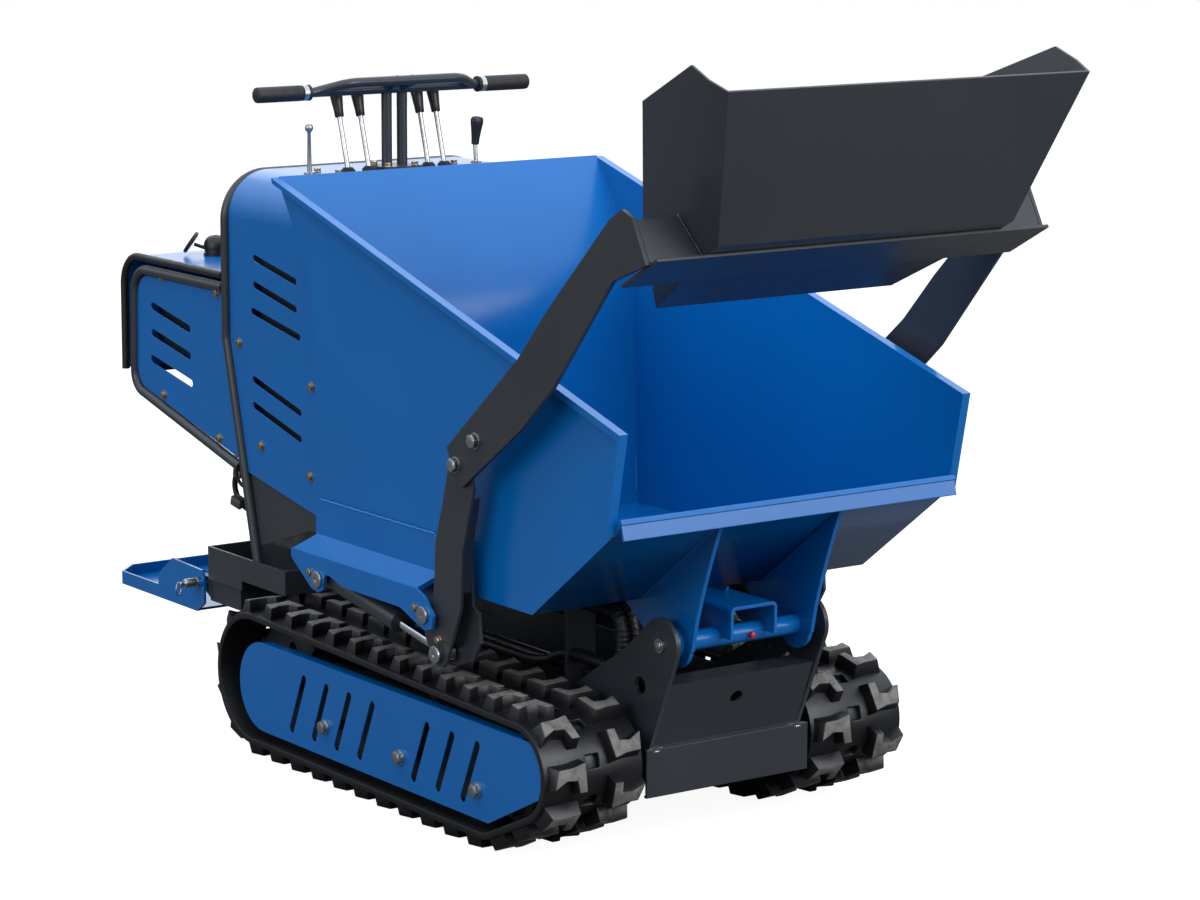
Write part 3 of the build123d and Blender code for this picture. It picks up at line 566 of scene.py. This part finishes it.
def prism(points, shift):  # solid from a flat outline of points, pulled along a shift
    bpy.ops.mesh.primitive_circle_add(vertices=len(points), radius=0.1, fill_type="NGON")
    piece = bpy.context.object
    for vertex, point in zip(piece.data.vertices, points):
        vertex.co = point
    pickFaces(piece, lambda c, n: True)
    pull(shift)
    return outward(piece)


def plate(outline, low, high):  # plate that stands across y, drawn in x and z
    return prism([(x, low, z) for x, z in outline], (0, high - low, 0))


def box(low, high):
    return plate([(low[0], low[2]), (high[0], low[2]), (high[0], high[2]), (low[0], high[2])], low[1], high[1])


def arc(centre, radius, angles):
    return [(centre[0] + radius * cos(a), centre[1] + radius * sin(a)) for a in angles]


def pipe(radius, centre, low, high, vertices=40):  # round bar across y, its centre in x and z
    return plate(arc(centre, radius, [2 * pi * i / vertices for i in range(vertices)]), low, high)


def combined(piece, other, how):
    modified(piece, "BOOLEAN", object=other, operation=how, solver="EXACT")
    removed(other)
    return piece


def finished(piece, width, *how):  # how is what dress takes
    return dress(softened(piece, width), *how)


cover = {
    "rear": (-0.331, 0.136, 0.084), "face": 0.374, "sheet": 0.003, "flange": 0.022, "flangeRun": (-0.331, 0.511),
    "front": ((0.415, 0.052), (0.564, 0.126), (0.572, 0.147), (0.572, 0.181), (0.5682, 0.1918), (0.5621, 0.2014),
              (0.5541, 0.2096), (0.5444, 0.2157), (0.5337, 0.2196), (0.5224, 0.2200), (0.511, 0.2200)),
    "flangeZ": (0.217, 0.220), "slots": (-0.206, -0.128, -0.051, 0.027, 0.204, 0.282, 0.360), "slotZ": 0.130,
    "slotHalf": 0.0555, "slotRound": 0.0075, "lean": 66.3, "cut": (0.36, 0.38), "round": 0.0009,
}


def slotOutline(x, z):  # obround that leans forward
    lean = radians(cover["lean"])
    outline = []
    for end in (1, -1):
        centre = x + end * cover["slotHalf"] * cos(lean), z + end * cover["slotHalf"] * sin(lean)
        first = lean + (0 if end == 1 else pi) - pi / 2
        outline += arc(centre, cover["slotRound"], [first + pi * i / 8 for i in range(9)])
    return outline


def addTrackCover(side):
    s = sides[side]
    x, z, r = cover["rear"]
    ring = arc((x, z), r, [radians(90 + 7.5 * i) for i in range(25)])
    face = plate(ring + list(cover["front"]), s * (cover["face"] - cover["sheet"]), s * cover["face"])
    (first, last), (low, high) = cover["flangeRun"], cover["flangeZ"]
    fold = box((first, s * (cover["face"] - cover["flange"]), low), (last, s * (cover["face"] - 0.001), high))
    combined(face, fold, "UNION")
    for x in cover["slots"]:
        combined(face, plate(slotOutline(x, cover["slotZ"]), *(s * y for y in cover["cut"])), "DIFFERENCE")
    finished(face, cover["round"], "trackCover" + side, "bluePowderCoat", "base", "track_cover_" + side.lower())


for side in sides:
    addTrackCover(side)

tip = {
    "pin": (0.612, 0.370), "head": (0.520, 0.400), "floor": 0.4277, "half": 0.049, "wall": 0.006, "low": 0.372,
    "corner": 0.010, "run": (0.502, 0.156), "cut": (0.490, 0.180),
    "mouth": ((0.490, 0.360), (0.574, 0.360), (0.574, 0.372), (0.508, 0.416), (0.490, 0.416)), "mouthY": 0.06,
    "gusset": ((0.450, 0.4277), (0.515, 0.4277), (0.732, 0.590), (0.714, 0.547), (0.696, 0.500), (0.680, 0.455),
               (0.667, 0.412), (0.656, 0.362), (0.580, 0.339)),
    "gussetY": (0.122, 0.130), "boss": 0.042,
    "lug": ((0.500, 0.4277), (0.503, 0.392), (0.537, 0.392), (0.550, 0.436), (0.515, 0.4277)),
    "lugY": (0.024, 0.030), "eye": 0.014, "collar": 0.026, "collarY": (0.1302, 0.139), "tube": 0.017,
    "tubeHalf": 0.152,
}


def channelOutline(inset):  # upside-down U with two round upper corners, in y and z
    half, top, low, r = tip["half"] - inset, tip["floor"] - inset, tip["low"] - inset * 2, tip["corner"] - inset
    outline = [(-half, low), (half, low)]
    for y, first in ((half - r, 0), (-half + r, 90)):
        outline += arc((y, top - r), r, [radians(first + 15 * i) for i in range(7)])
    return outline


def channelPrism(inset, run):
    return prism([(run[0], y, z) for y, z in channelOutline(inset)], (run[1], 0, 0))


def addBracket(piece, width, name):
    finished(piece, width, name, "bluePowderCoat", "skip", "skip_frame")


channel = combined(channelPrism(0, tip["run"]), channelPrism(tip["wall"], tip["cut"]), "DIFFERENCE")
combined(channel, plate(tip["mouth"], -tip["mouthY"], tip["mouthY"]), "DIFFERENCE")
addBracket(channel, 0.0008, "tipChannel")
for side, s in sides.items():
    low, high = (s * y for y in tip["gussetY"])
    gusset = combined(plate(tip["gusset"], low, high), pipe(tip["boss"], tip["pin"], low, high, 64), "UNION")
    addBracket(gusset, 0.0012, "tipGusset" + side)
    low, high = (s * y for y in tip["lugY"])
    lug = combined(plate(tip["lug"], low, high), pipe(tip["eye"], tip["head"], low, high), "UNION")
    addBracket(lug, 0.0010, "tipLug" + side)
    low, high = (s * y for y in tip["collarY"])
    addBracket(pipe(tip["collar"], tip["pin"], low, high, 48), 0.0010, "tipCollar" + side)
addBracket(pipe(tip["tube"], tip["pin"], -tip["tubeHalf"], tip["tubeHalf"]), 0.0010, "tipTube")

strips = {  # outline in x and z, half the length across y, edge round, body
    "lipBar": (((0.7665, 0.5935), (0.7575, 0.6275), (0.7517, 0.6260), (0.7607, 0.5920)), 0.3478, 0.0016, "skip"),
    "consoleSeam": (((-0.3064, 1.0430), (-0.3094, 1.0430), (-0.3165, 1.0560), (-0.3165, 1.0597),
                     (-0.3120, 1.0618)), 0.236, 0.0006, "base"),
}
for name, (outline, half, width, body) in strips.items():
    finished(plate(outline, -half, half), width, name, "bluePowderCoat", body)

web = {"points": ((0.8669, 0.3995, 1.1205), (0.8669, 0.319, 1.1205), (0.9010, 0.2976, 1.0576),
                  (0.9010, 0.3995, 1.0576)), "thick": (-0.0044, 0, -0.0024), "round": 0.0008}
sheets = {  # low and high corner on the left, edge round
    "deckEnd": ((-0.6595, 0.2870, 0.2305), (-0.5490, 0.2922, 0.2750), 0.0008),
    "hoodBaffle": ((-0.900, 0.2650, 0.686), (-0.700, 0.2670, 0.800), 0.0004),
    "consoleBaffle": ((-0.540, 0.2660, 0.575), (-0.318, 0.2680, 0.925), 0.0004),
}
for side in sides:
    finished(prism([across(side, point) for point in web["points"]], web["thick"]), web["round"], "armWeb" + side,
             "greyPowderCoat", "arms")
    for name, (low, high, width) in sheets.items():
        finished(box(across(side, low), across(side, high)), width, name + side, "greyPowderCoat", "base")
print("sheet metal ready")

# fasteners, each modelled once at the origin with its seat on z = 0


def disc(radius, low, high, vertices=32, edge=0.0004):
    bpy.ops.mesh.primitive_cylinder_add(vertices=vertices, radius=radius, depth=high - low,
                                        location=(0, 0, (low + high) / 2))
    return bevelled(settle(bpy.context.object), edge, 40)


def sunk(obj, inner, depth):  # sinks a hole into the top face, a rim of one width left round it
    top = max(v.co.z for v in obj.data.vertices)
    pickFaces(obj, lambda c, n: n.z > 0.9 and c.z > top - 1e-5)
    bpy.ops.mesh.inset(thickness=inner)
    pull((0, 0, -depth))
    objectMode()
    return obj


def makeHexBolt(size, tall):  # plain washer, spring washer and a chamfered hex head
    washer = disc(size * 0.95, 0, tall * 0.18)
    spring = disc(size * 0.74, tall * 0.17, tall * 0.36, 24)
    head = disc(size * 0.86, tall * 0.35, tall * 0.95, 6, size * 0.05)
    crown = disc(size * 0.66, tall * 0.85, tall, 24, size * 0.03)
    return smooth(joined([washer, spring, head, crown]), 30)


def makePanelScrew(size):  # button head with a socket on a loose washer
    washer = disc(size * 1.25, 0, size * 0.16)
    head = disc(size * 0.86, size * 0.15, size * 0.72, 24, size * 0.24)
    return smooth(joined([washer, sunk(head, size * 0.28, size * 0.3)]), 35)


def makePinHead(size, thick):  # turned pin end with a broad chamfer and a lathe centre
    return smooth(sunk(disc(size, 0, thick, 36, thick * 0.3), size * 0.62, size * 0.1), 30)


def placeAll(model, spots, *how):  # copies of one model at (place, direction, turn) as one piece; how is for dress
    return dress(joined([copied(model, standing(*spot)) for spot in spots]), *how)


bolt = makeHexBolt(0.0145, 0.0115)
smallBolt = makeHexBolt(0.0078, 0.0073)
screw = makePanelScrew(0.0078)
pinHead = makePinHead(0.0155, 0.0054)
smallPin = makePinHead(0.0078, 0.0036)
nut = disc(0.0175, 0, 0.011, 6, 0.0008)

fastener = {  # model, the seat's distance from the middle, finish, body, spots as (x, z, turn)
    "hoodScrews": (screw, 0.2926, "yellowZinc", "base",
                   ((-0.835, 0.8362), (-0.6234, 0.8287), (-0.8354, 0.6053), (-0.6206, 0.5511))),
    "consoleScrews": (screw, 0.2911, "yellowZinc", "base",
                      ((-0.5435, 0.7441), (-0.4662, 0.5591), (-0.2835, 0.6951), (-0.2907, 0.5275))),
    "coverBolts": (bolt, 0.3741, "zincPlate", "base", ((-0.111, 0.1075), (0.140, 0.107), (0.382, 0.103))),
    "armBolts": (bolt, 0.4081, "zincPlate", "arms", ((0.430, 0.713), (0.371, 0.664))),
    "railPinLocks": (smallBolt, 0.4126, "yellowZinc", "skip", ((0.2545, 0.4015), (-0.0895, 0.4015))),
    "rodPin": (pinHead, 0.4052, "zincPlate", "arms", ((0.304, 0.327, 0),)),
    "rodPinLock": (smallBolt, 0.4001, "yellowZinc", "arms", ((0.3075, 0.353, 0.4),)),
    "tipPinHead": (smallPin, 0.1652, "zincPlate", "base", ((0.612, 0.370, 0),)),
}
railPin = {"xs": (0.279, -0.065), "z": 0.392, "headY": 0.4142, "shaftY": 0.3834, "radius": 0.010, "length": 0.0612}
barBolt = {"spots": ((-0.481, -0.030), (-0.481, 0.030), (-0.433, -0.030), (-0.433, 0.030), (-0.474, -0.159),
                     (-0.430, -0.140), (-0.466, 0.139), (-0.430, 0.164)), "top": 1.0633, "pad": 1.0693, "padHalf": 0.05}


def addRailPins(side):  # heads and shafts, in place of the CAD's pins
    s = sides[side]
    placeAll(pinHead, [((x, s * railPin["headY"], railPin["z"]), (0, s, 0), 0) for x in railPin["xs"]],
             "railPins" + side, "zincPlate", "skip", "arm_pins_" + side.lower())
    shafts = []
    for x in railPin["xs"]:
        bpy.ops.mesh.primitive_cylinder_add(vertices=32, radius=railPin["radius"], depth=railPin["length"],
                                            location=(x, s * railPin["shaftY"], railPin["z"]), rotation=(pi / 2, 0, 0))
        shafts.append(smooth(settle(bpy.context.object), 30))
    dress(joined(shafts), "railPinShafts" + side, "zincPlate", "skip", "arm_pins_" + side.lower())


for side, s in sides.items():
    addRailPins(side)
    for name, (model, y, look, body, spots) in fastener.items():  # without a turn given, x sets it
        placeAll(model, [((x, s * y, z), (0, s, 0), turn[0] if turn else x * 9) for x, z, *turn in spots],
                 name + side, look, body)
placeAll(smallBolt, [((x, y, barBolt["pad"] if abs(y) < barBolt["padHalf"] else barBolt["top"]), (0, 0, 1),
                      x * 40 + y * 30) for x, y in barBolt["spots"]], "barBolts", "yellowZinc", "base")
print("fasteners ready")

# handlebar, grips and levers; each shape is a row of (height, radius)

control = {
    "barX": -0.457, "barZ": 1.213, "gripIn": 0.184, "gripOut": 0.300, "sleeve": 0.018, "ribs": 26,
    "gripFoot": ((0.0, 0.0128), (0.0015, 0.0142)), "gripEnd": ((-0.006, 0.0146), (-0.002, 0.0139), (0, 0.0115)),
    "ribShape": ((0, 0.0143), (0.0014, 0.0147), (0.0028, 0.0143)), "ribStart": 0.003, "ribsShort": 0.012,
    "flangeAt": 0.0005, "collarAt": 0.0068,
    "flange": ((0, 0.0128), (0.0008, 0.0149), (0.0044, 0.0149), (0.006, 0.0128)),
    "collar": ((0, 0.0132), (0.0006, 0.0145), (0.0104, 0.0145), (0.011, 0.0132)),
    "leverX": -0.451, "leverZ": 1.0642, "leverYs": (-0.106, -0.060, 0.072, 0.108), "leverWay": (-0.033, 0, 0.1117),
    "rod": ((0, 0.0047), (0.106, 0.0047)), "knobAt": 0.1025, "bootSunk": 0.0004,
    "knob": ((0, 0.0079), (0.001, 0.0086), (0.014, 0.0092), (0.030, 0.0108), (0.042, 0.0121), (0.046, 0.0120),
             (0.0485, 0.0105), (0.0492, 0.007)),
    "boot": ((0, 0.0138), (0.0022, 0.0138), (0.003, 0.0118), (0.0044, 0.0118), (0.0052, 0.0096), (0.0066, 0.0096),
             (0.0076, 0.0062)),
    "poleY": -0.190, "pole": ((0, 0.0049), (0.010, 0.0044), (0.074, 0.0033), (0.0766, 0.0040), (0.0790, 0.0062),
                              (0.0825, 0.0077), (0.0865, 0.0078), (0.0900, 0.0063), (0.0920, 0.0030)),
    "stemY": 0.180, "stem": ((0, 0.0042), (0.042, 0.0040)), "stemWay": (-0.1, 0, 1),
    "paddle": ((0, 0.0066), (0.0012, 0.0080), (0.012, 0.0086), (0.030, 0.0112), (0.043, 0.0134), (0.049, 0.0131),
               (0.0525, 0.0105), (0.0538, 0.005)),
    "paddleAt": (-0.455, 0.180, 1.0985), "paddleWay": (0.007, 0.002, 0.052), "paddleMiddle": 0.4525,
    "paddleFlat": 0.72, "foot": ((0, 0.0105), (0.003, 0.0105), (0.0038, 0.0088)), "footZ": 1.0638,
}


def turned(sections, vertices, place=(0, 0, 0), direction=(0, 0, 1)):  # round piece from rings of (height, radius)
    low, first = sections[0]
    bpy.ops.mesh.primitive_circle_add(vertices=vertices, radius=first, fill_type="NGON", location=(0, 0, low))
    piece = settle(bpy.context.object)
    pickFaces(piece, lambda c, n: True)
    for (z1, r1), (z2, r2) in zip(sections, sections[1:]):
        pull((0, 0, z2 - z1))
        bpy.ops.transform.resize(value=(r2 / r1, r2 / r1, 1), center_override=(0, 0, z2))
    smooth(outward(piece), 40)
    piece.data.transform(standing(place, direction))
    return piece


def gripShape(run):  # ribbed sleeve with a round end
    shape = list(control["gripFoot"])
    for i in range(control["ribs"]):
        start = control["ribStart"] + (run - control["ribsShort"]) * i / control["ribs"]
        shape += [(start + z, r) for z, r in control["ribShape"]]
    return shape + [(run + z, r) for z, r in control["gripEnd"]]


def onBar(shape, side, y):  # a round piece on the handlebar, y past the grip's inner end
    s = sides[side]
    return turned(shape, 36, (control["barX"], s * (control["gripIn"] + y), control["barZ"]), (0, s, 0))


for side in sides:
    run = control["gripOut"] - control["gripIn"] - control["sleeve"]
    grip = [onBar(gripShape(run), side, control["sleeve"]), onBar(control["flange"], side, control["flangeAt"])]
    collar = onBar(control["collar"], side, control["collarAt"])
    dress(joined(grip), "gripRubber" + side, "gripRubber", "base", "grips")
    dress(collar, "gripCollar" + side, "drawnSteel", "base", "grips")

leverWay = Vector(control["leverWay"]).normalized()
leverFoot = Vector((control["leverX"], 0, control["leverZ"]))
rods, knobs, boots = [], [], []
for y in control["leverYs"]:
    base = leverFoot + Vector((0, y, 0))
    rods.append(turned(control["rod"], 24, base, leverWay))
    knobs.append(turned(control["knob"], 28, base + leverWay * control["knobAt"], leverWay))
    boots.append(turned(control["boot"], 28, base - Vector((0, 0, control["bootSunk"]))))
small = [turned(control["pole"], 28, leverFoot + Vector((0, control["poleY"], 0))),
         turned(control["stem"], 20, leverFoot + Vector((0, control["stemY"], 0)), control["stemWay"])]
for key in ("poleY", "stemY"):
    small.append(turned(control["foot"], 24, (control["leverX"], control[key], control["footZ"])))
paddle = turned(control["paddle"], 32, control["paddleAt"], control["paddleWay"])
for vertex in paddle.data.vertices:  # pressed flatter front to back
    middle = control["paddleMiddle"]
    vertex.co.x = -middle + (vertex.co.x + middle) * control["paddleFlat"]
for parts, name, look in ((rods, "leverRods", "drawnSteel"), (knobs + [paddle], "leverKnobs", "blackNylon"),
                          (boots, "leverBoots", "gripRubber"), (small, "smallLevers", "zincPlate")):
    dress(joined(parts), name, look, "base", "levers")
print("controls ready")

# filler with its flip lid

filler = {
    "place": Vector((-0.905, -0.133, 0.8603)), "lidWay": (-0.50, -0.66, 0.56), "lidAt": Vector((-0.026, -0.038, 0.023)),
    "dome": ((0, 0.0245), (0.004, 0.0248), (0.005, 0.0225), (0.014, 0.0225), (0.015, 0.0245), (0.019, 0.0246),
             (0.027, 0.0228), (0.034, 0.0185), (0.038, 0.0125), (0.0385, 0.006), (0.0395, 0.0055)),
    "lid": ((0, 0.0205), (0.001, 0.0236), (0.0062, 0.0238), (0.007, 0.0228)), "lidRim": 0.0026, "lidDepth": 0.0042,
    "strap": ((0, 0.0036), (0.026, 0.0036)), "strapWay": (-0.5, -0.72, 0.3), "strapAt": Vector((-0.011, -0.015, 0.013)),
}
dome = turned(filler["dome"], 36, filler["place"])
lid = sunk(turned(filler["lid"], 36), filler["lidRim"], filler["lidDepth"])
lid.data.transform(standing(filler["place"] + filler["lidAt"], filler["lidWay"]))
strap = turned(filler["strap"], 16, filler["place"] + filler["strapAt"], filler["strapWay"])
dress(joined([dome, lid, strap]), "fillerCap", "blackNylon", "base", "filler_cap")
print("filler ready")

# weld beads: overlapping flattened drops along a seam

weld = {  # width, finish, body, runs on the left
    "doublerWeld": (0.0052, "bluePowderCoat", "skip", (((-0.146, 0.3565, 0.5165), (0.226, 0.3565, 0.5165)),
                                                       ((0.229, 0.3565, 0.515), (0.240, 0.3565, 0.501)))),
    "gussetWeld": (0.005, "bluePowderCoat", "skip", (((0.516, 0.1302, 0.4290), (0.728, 0.1302, 0.5878)),)),
    "cornerWeld": (0.005, "bluePowderCoat", "skip", (((0.742, 0.3466, 0.6045), (0.690, 0.3466, 0.5655)),
                                                     ((0.600, 0.3466, 0.4985), (0.560, 0.3466, 0.4685)),
                                                     ((-0.1535, 0.3466, 0.455), (-0.1558, 0.3466, 0.515)),
                                                     ((-0.1625, 0.3466, 0.655), (-0.1645, 0.3466, 0.715)))),
    "bumperWeld": (0.0065, "zincPlate", "base", (((0.5880, 0.134, 0.1815), (0.5880, 0.170, 0.1815)),
                                                 ((0.5850, 0.134, 0.1835), (0.5850, 0.170, 0.1835)))),
    "shovelWeld": (0.004, "greyPowderCoat", "arms", (((0.901, 0.299, 1.0615), (0.867, 0.3215, 1.1225)),)),
}
bead = {"pitch": 0.0042, "seed": 7.3, "wobble": 0.12}
bpy.ops.mesh.primitive_uv_sphere_add(segments=10, ring_count=6, radius=1)
drop = smooth(settle(bpy.context.object), 60)


def addWeld(runs, width, *how):
    parts = []
    for start, end in runs:
        a, b = Vector(start), Vector(end)
        count = max(2, round((b - a).length / bead["pitch"]))
        for i in range(count):
            wobble = sin(i * bead["seed"] + a.x * 50) * bead["wobble"]
            size = Matrix.Diagonal((width * (0.5 + wobble), width * (0.5 - wobble / 2), bead["pitch"] * 0.95, 1))
            parts.append(copied(drop, standing(a.lerp(b, (i + 0.5) / count), b - a) @ size))
    return dress(joined(parts), *how)


for side in sides:
    for name, (width, look, body, runs) in weld.items():
        addWeld([[across(side, point) for point in run] for run in runs], width, name + side, look, body)
removed(drop)
print("welds ready")

# grease nipples with red caps, the step's latch and pin bolt

nipple = {"shape": ((0, 0.0036), (0.003, 0.0036), (0.0034, 0.0052), (0.010, 0.0050), (0.0115, 0.0030)),
          "tube": ((0.6288, 0.014, 0.3690), (1, 0, 0)), "arm": (0.3325, 0.3670, 0.3240), "armWay": (1, 0, -0.25)}
nippleModel = turned(nipple["shape"], 20)
placeAll(nippleModel, [nipple["tube"]], "tubeNipple", "redCap", "skip")
placeAll(nippleModel, [(across(side, nipple["arm"]), nipple["armWay"]) for side in sides], "armNipples", "redCap",
         "arms")

latch = {
    "place": Vector((-0.690, -0.3062, 0.262)), "boltAt": (-0.690, 0.3062, 0.262),
    "shape": ((0, 0.0098), (0.003, 0.0102), (0.0036, 0.0078), (0.006, 0.0078), (0.0066, 0.0088), (0.028, 0.0088),
              (0.030, 0.0076), (0.031, 0.0040), (0.038, 0.0040), (0.039, 0.0030)),
    "ringAt": Vector((-0.004, -0.0395, -0.0100)), "ring": 0.0125, "wire": 0.0014, "ringTurn": (pi / 2, 0, -0.9),
}
barrel = turned(latch["shape"], 28, latch["place"], (0, -1, 0))
bpy.ops.mesh.primitive_torus_add(major_radius=latch["ring"], minor_radius=latch["wire"], major_segments=40,
                                 minor_segments=10, location=latch["place"] + latch["ringAt"],
                                 rotation=latch["ringTurn"])
ring = smooth(settle(bpy.context.object), 60)
dress(joined([barrel, ring]), "stepLatch", "zincPlate", "step")
placeAll(bolt, [(latch["boltAt"], (0, 1, 0))], "stepPinBolt", "zincPlate", "step")
removed(nippleModel, bolt, smallBolt, screw, pinHead, smallPin)
print("small hardware ready")

# hoses: from the deck's front face forward, round in a loop and back into a bulkhead plate, with a ribbed sleeve

hose = {
    "radius": 0.0102, "ys": (-0.136, -0.108), "lows": (0.297, 0.262), "top": 0.393, "loopX": 0.410, "loopRun": 0.060,
    "plateX": 0.322, "tail": 0.030, "deck": (-0.3447, 0.262), "straight": 0.06, "bends": (0.10, 0.24, 0.30),
    "pitch": 0.0085, "ribRadius": 0.0098, "rib": 0.0026, "ribClear": 0.006, "nutTurn": 0.2, "nutOff": 0.0002,
    "plate": ((0.322, -0.1525, 0.205), (0.328, -0.0905, 0.4085)), "plateRound": 0.0008, "farRadius": 0.0105,
    "far": (((-0.3447, 0.195, 0.268), (-0.10, 0.200, 0.290), (0.12, 0.198, 0.372), (0.30, 0.190, 0.400),
             (0.42, 0.184, 0.392), (0.50, 0.178, 0.330), (0.50, 0.156, 0.300)),
            ((-0.3447, 0.222, 0.268), (-0.10, 0.226, 0.285), (0.10, 0.222, 0.352), (0.28, 0.206, 0.374),
             (0.39, 0.196, 0.368), (0.46, 0.186, 0.300), (0.46, 0.156, 0.270))),
}
wires = (  # thickness and route
    (0.0058, ((-0.666, -0.150, 0.520), (-0.720, -0.185, 0.490), (-0.760, -0.190, 0.420), (-0.700, -0.175, 0.370),
              (-0.666, -0.150, 0.400))),
    (0.0040, ((-0.666, -0.120, 0.560), (-0.745, -0.160, 0.520), (-0.775, -0.165, 0.450), (-0.715, -0.150, 0.400),
              (-0.666, -0.120, 0.430))),
    (0.0034, ((-0.666, -0.165, 0.600), (-0.700, -0.200, 0.540), (-0.725, -0.205, 0.460), (-0.695, -0.190, 0.420),
              (-0.666, -0.160, 0.460))),
    (0.0046, ((-0.666, -0.080, 0.500), (-0.730, -0.110, 0.470), (-0.740, -0.120, 0.390), (-0.690, -0.100, 0.350),
              (-0.666, -0.080, 0.360))),
)
plug = {"turn": (0.2, 0.35, 0.3), "round": 0.002}
plugs = {  # finish, place, size
    "yellowPlug": ("yellowZinc", (-0.733, -0.187, 0.462), (0.020, 0.014, 0.030)),
    "greyPlug": ("castAluminium", (-0.722, -0.196, 0.402), (0.026, 0.018, 0.020)),
}


def routed(points):  # object with a soft curve that starts and ends at the route's ends
    curve = bpy.data.curves.new("route", "CURVE")
    curve.dimensions = "3D"
    spline = curve.splines.new("NURBS")
    spline.points.add(len(points) - 1)
    for point, place in zip(spline.points, points):
        point.co = (*place, 1)
    spline.order_u = 3
    spline.use_endpoint_u = True
    spline.resolution_u = 8
    return bpy.data.objects.new("route", curve)


def addWire(points, radius):
    obj = routed(points)
    obj.data.bevel_depth = radius
    obj.data.bevel_resolution = 3
    obj.data.use_fill_caps = True
    bpy.context.scene.collection.objects.link(obj)
    pickOnly(obj)
    bpy.ops.object.convert(target="MESH")
    return smooth(bpy.context.object, 60)


def followed(points):  # points along a route's own curve
    route = routed(points)
    way = [v.co.copy() for v in bpy.data.meshes.new_from_object(route).vertices]
    removed(route)
    return way


def hoseRoute(y, low):
    x, z = hose["deck"]
    front, top, plateX = hose["loopX"], hose["top"], hose["plateX"]
    far = front + hose["loopRun"]
    first, second, third = hose["bends"]
    return [(x, y, z), (x + hose["straight"], y, z), (first, y, z), (second, y, z), (third, y, low), (front, y, low),
            (far, y, low), (far, y, top), (front, y, top), (plateX, y, top), (plateX - hose["tail"], y, top)]


def addRibs(way, rib):  # ribs at one pitch along a way, up to the bulkhead plate
    parts = []
    ahead = 0.0
    for a, b in zip(way, way[1:]):
        span = (b - a).length
        while ahead < span:
            spot = a.lerp(b, ahead / span)
            if spot.x > hose["plateX"] + hose["ribClear"]:
                parts.append(copied(rib, standing(spot, b - a)))
            ahead += hose["pitch"]
        ahead -= span
    return parts


bpy.ops.mesh.primitive_torus_add(major_radius=hose["ribRadius"], minor_radius=hose["rib"], major_segments=20,
                                 minor_segments=6)
ribModel = smooth(settle(bpy.context.object), 60)
tubes, ribs, nuts = [], [], []
for y, low in zip(hose["ys"], hose["lows"]):
    route = hoseRoute(y, low)
    tubes.append(addWire(route, hose["radius"]))
    ribs += addRibs(followed(route), ribModel)
    for x, z, facing in ((hose["plateX"], hose["top"], -1), (*hose["deck"], 1)):
        place = x + facing * hose["nutOff"], y, z
        nuts.append(copied(nut, standing(place, (facing, 0, 0), hose["nutTurn"])))
removed(ribModel, nut)
farHoses = [addWire(route, hose["farRadius"]) for route in hose["far"]]
wiring = [addWire(route, radius) for radius, route in wires]
for parts, name, look in ((tubes, "hoses", "hoseRubber"), (ribs, "hoseRibs", "hoseRubber"),
                          (nuts, "hoseNuts", "zincPlate"), (farHoses, "farHoses", "hoseRubber"),
                          (wiring, "wiring", "hoseRubber")):
    dress(joined(parts), name, look, "base")
finished(box(*hose["plate"]), hose["plateRound"], "hosePlate", "greyPowderCoat", "base")
for name, (look, place, size) in plugs.items():
    bpy.ops.mesh.primitive_cube_add(size=1, location=place, scale=size, rotation=plug["turn"])
    moulding = modified(settle(bpy.context.object), "BEVEL", width=plug["round"], segments=2)
    dress(smooth(moulding, 30), name, look, "base")
print("hoses ready")

bpy.ops.object.select_all(action="DESELECT")
print("all pieces ready")
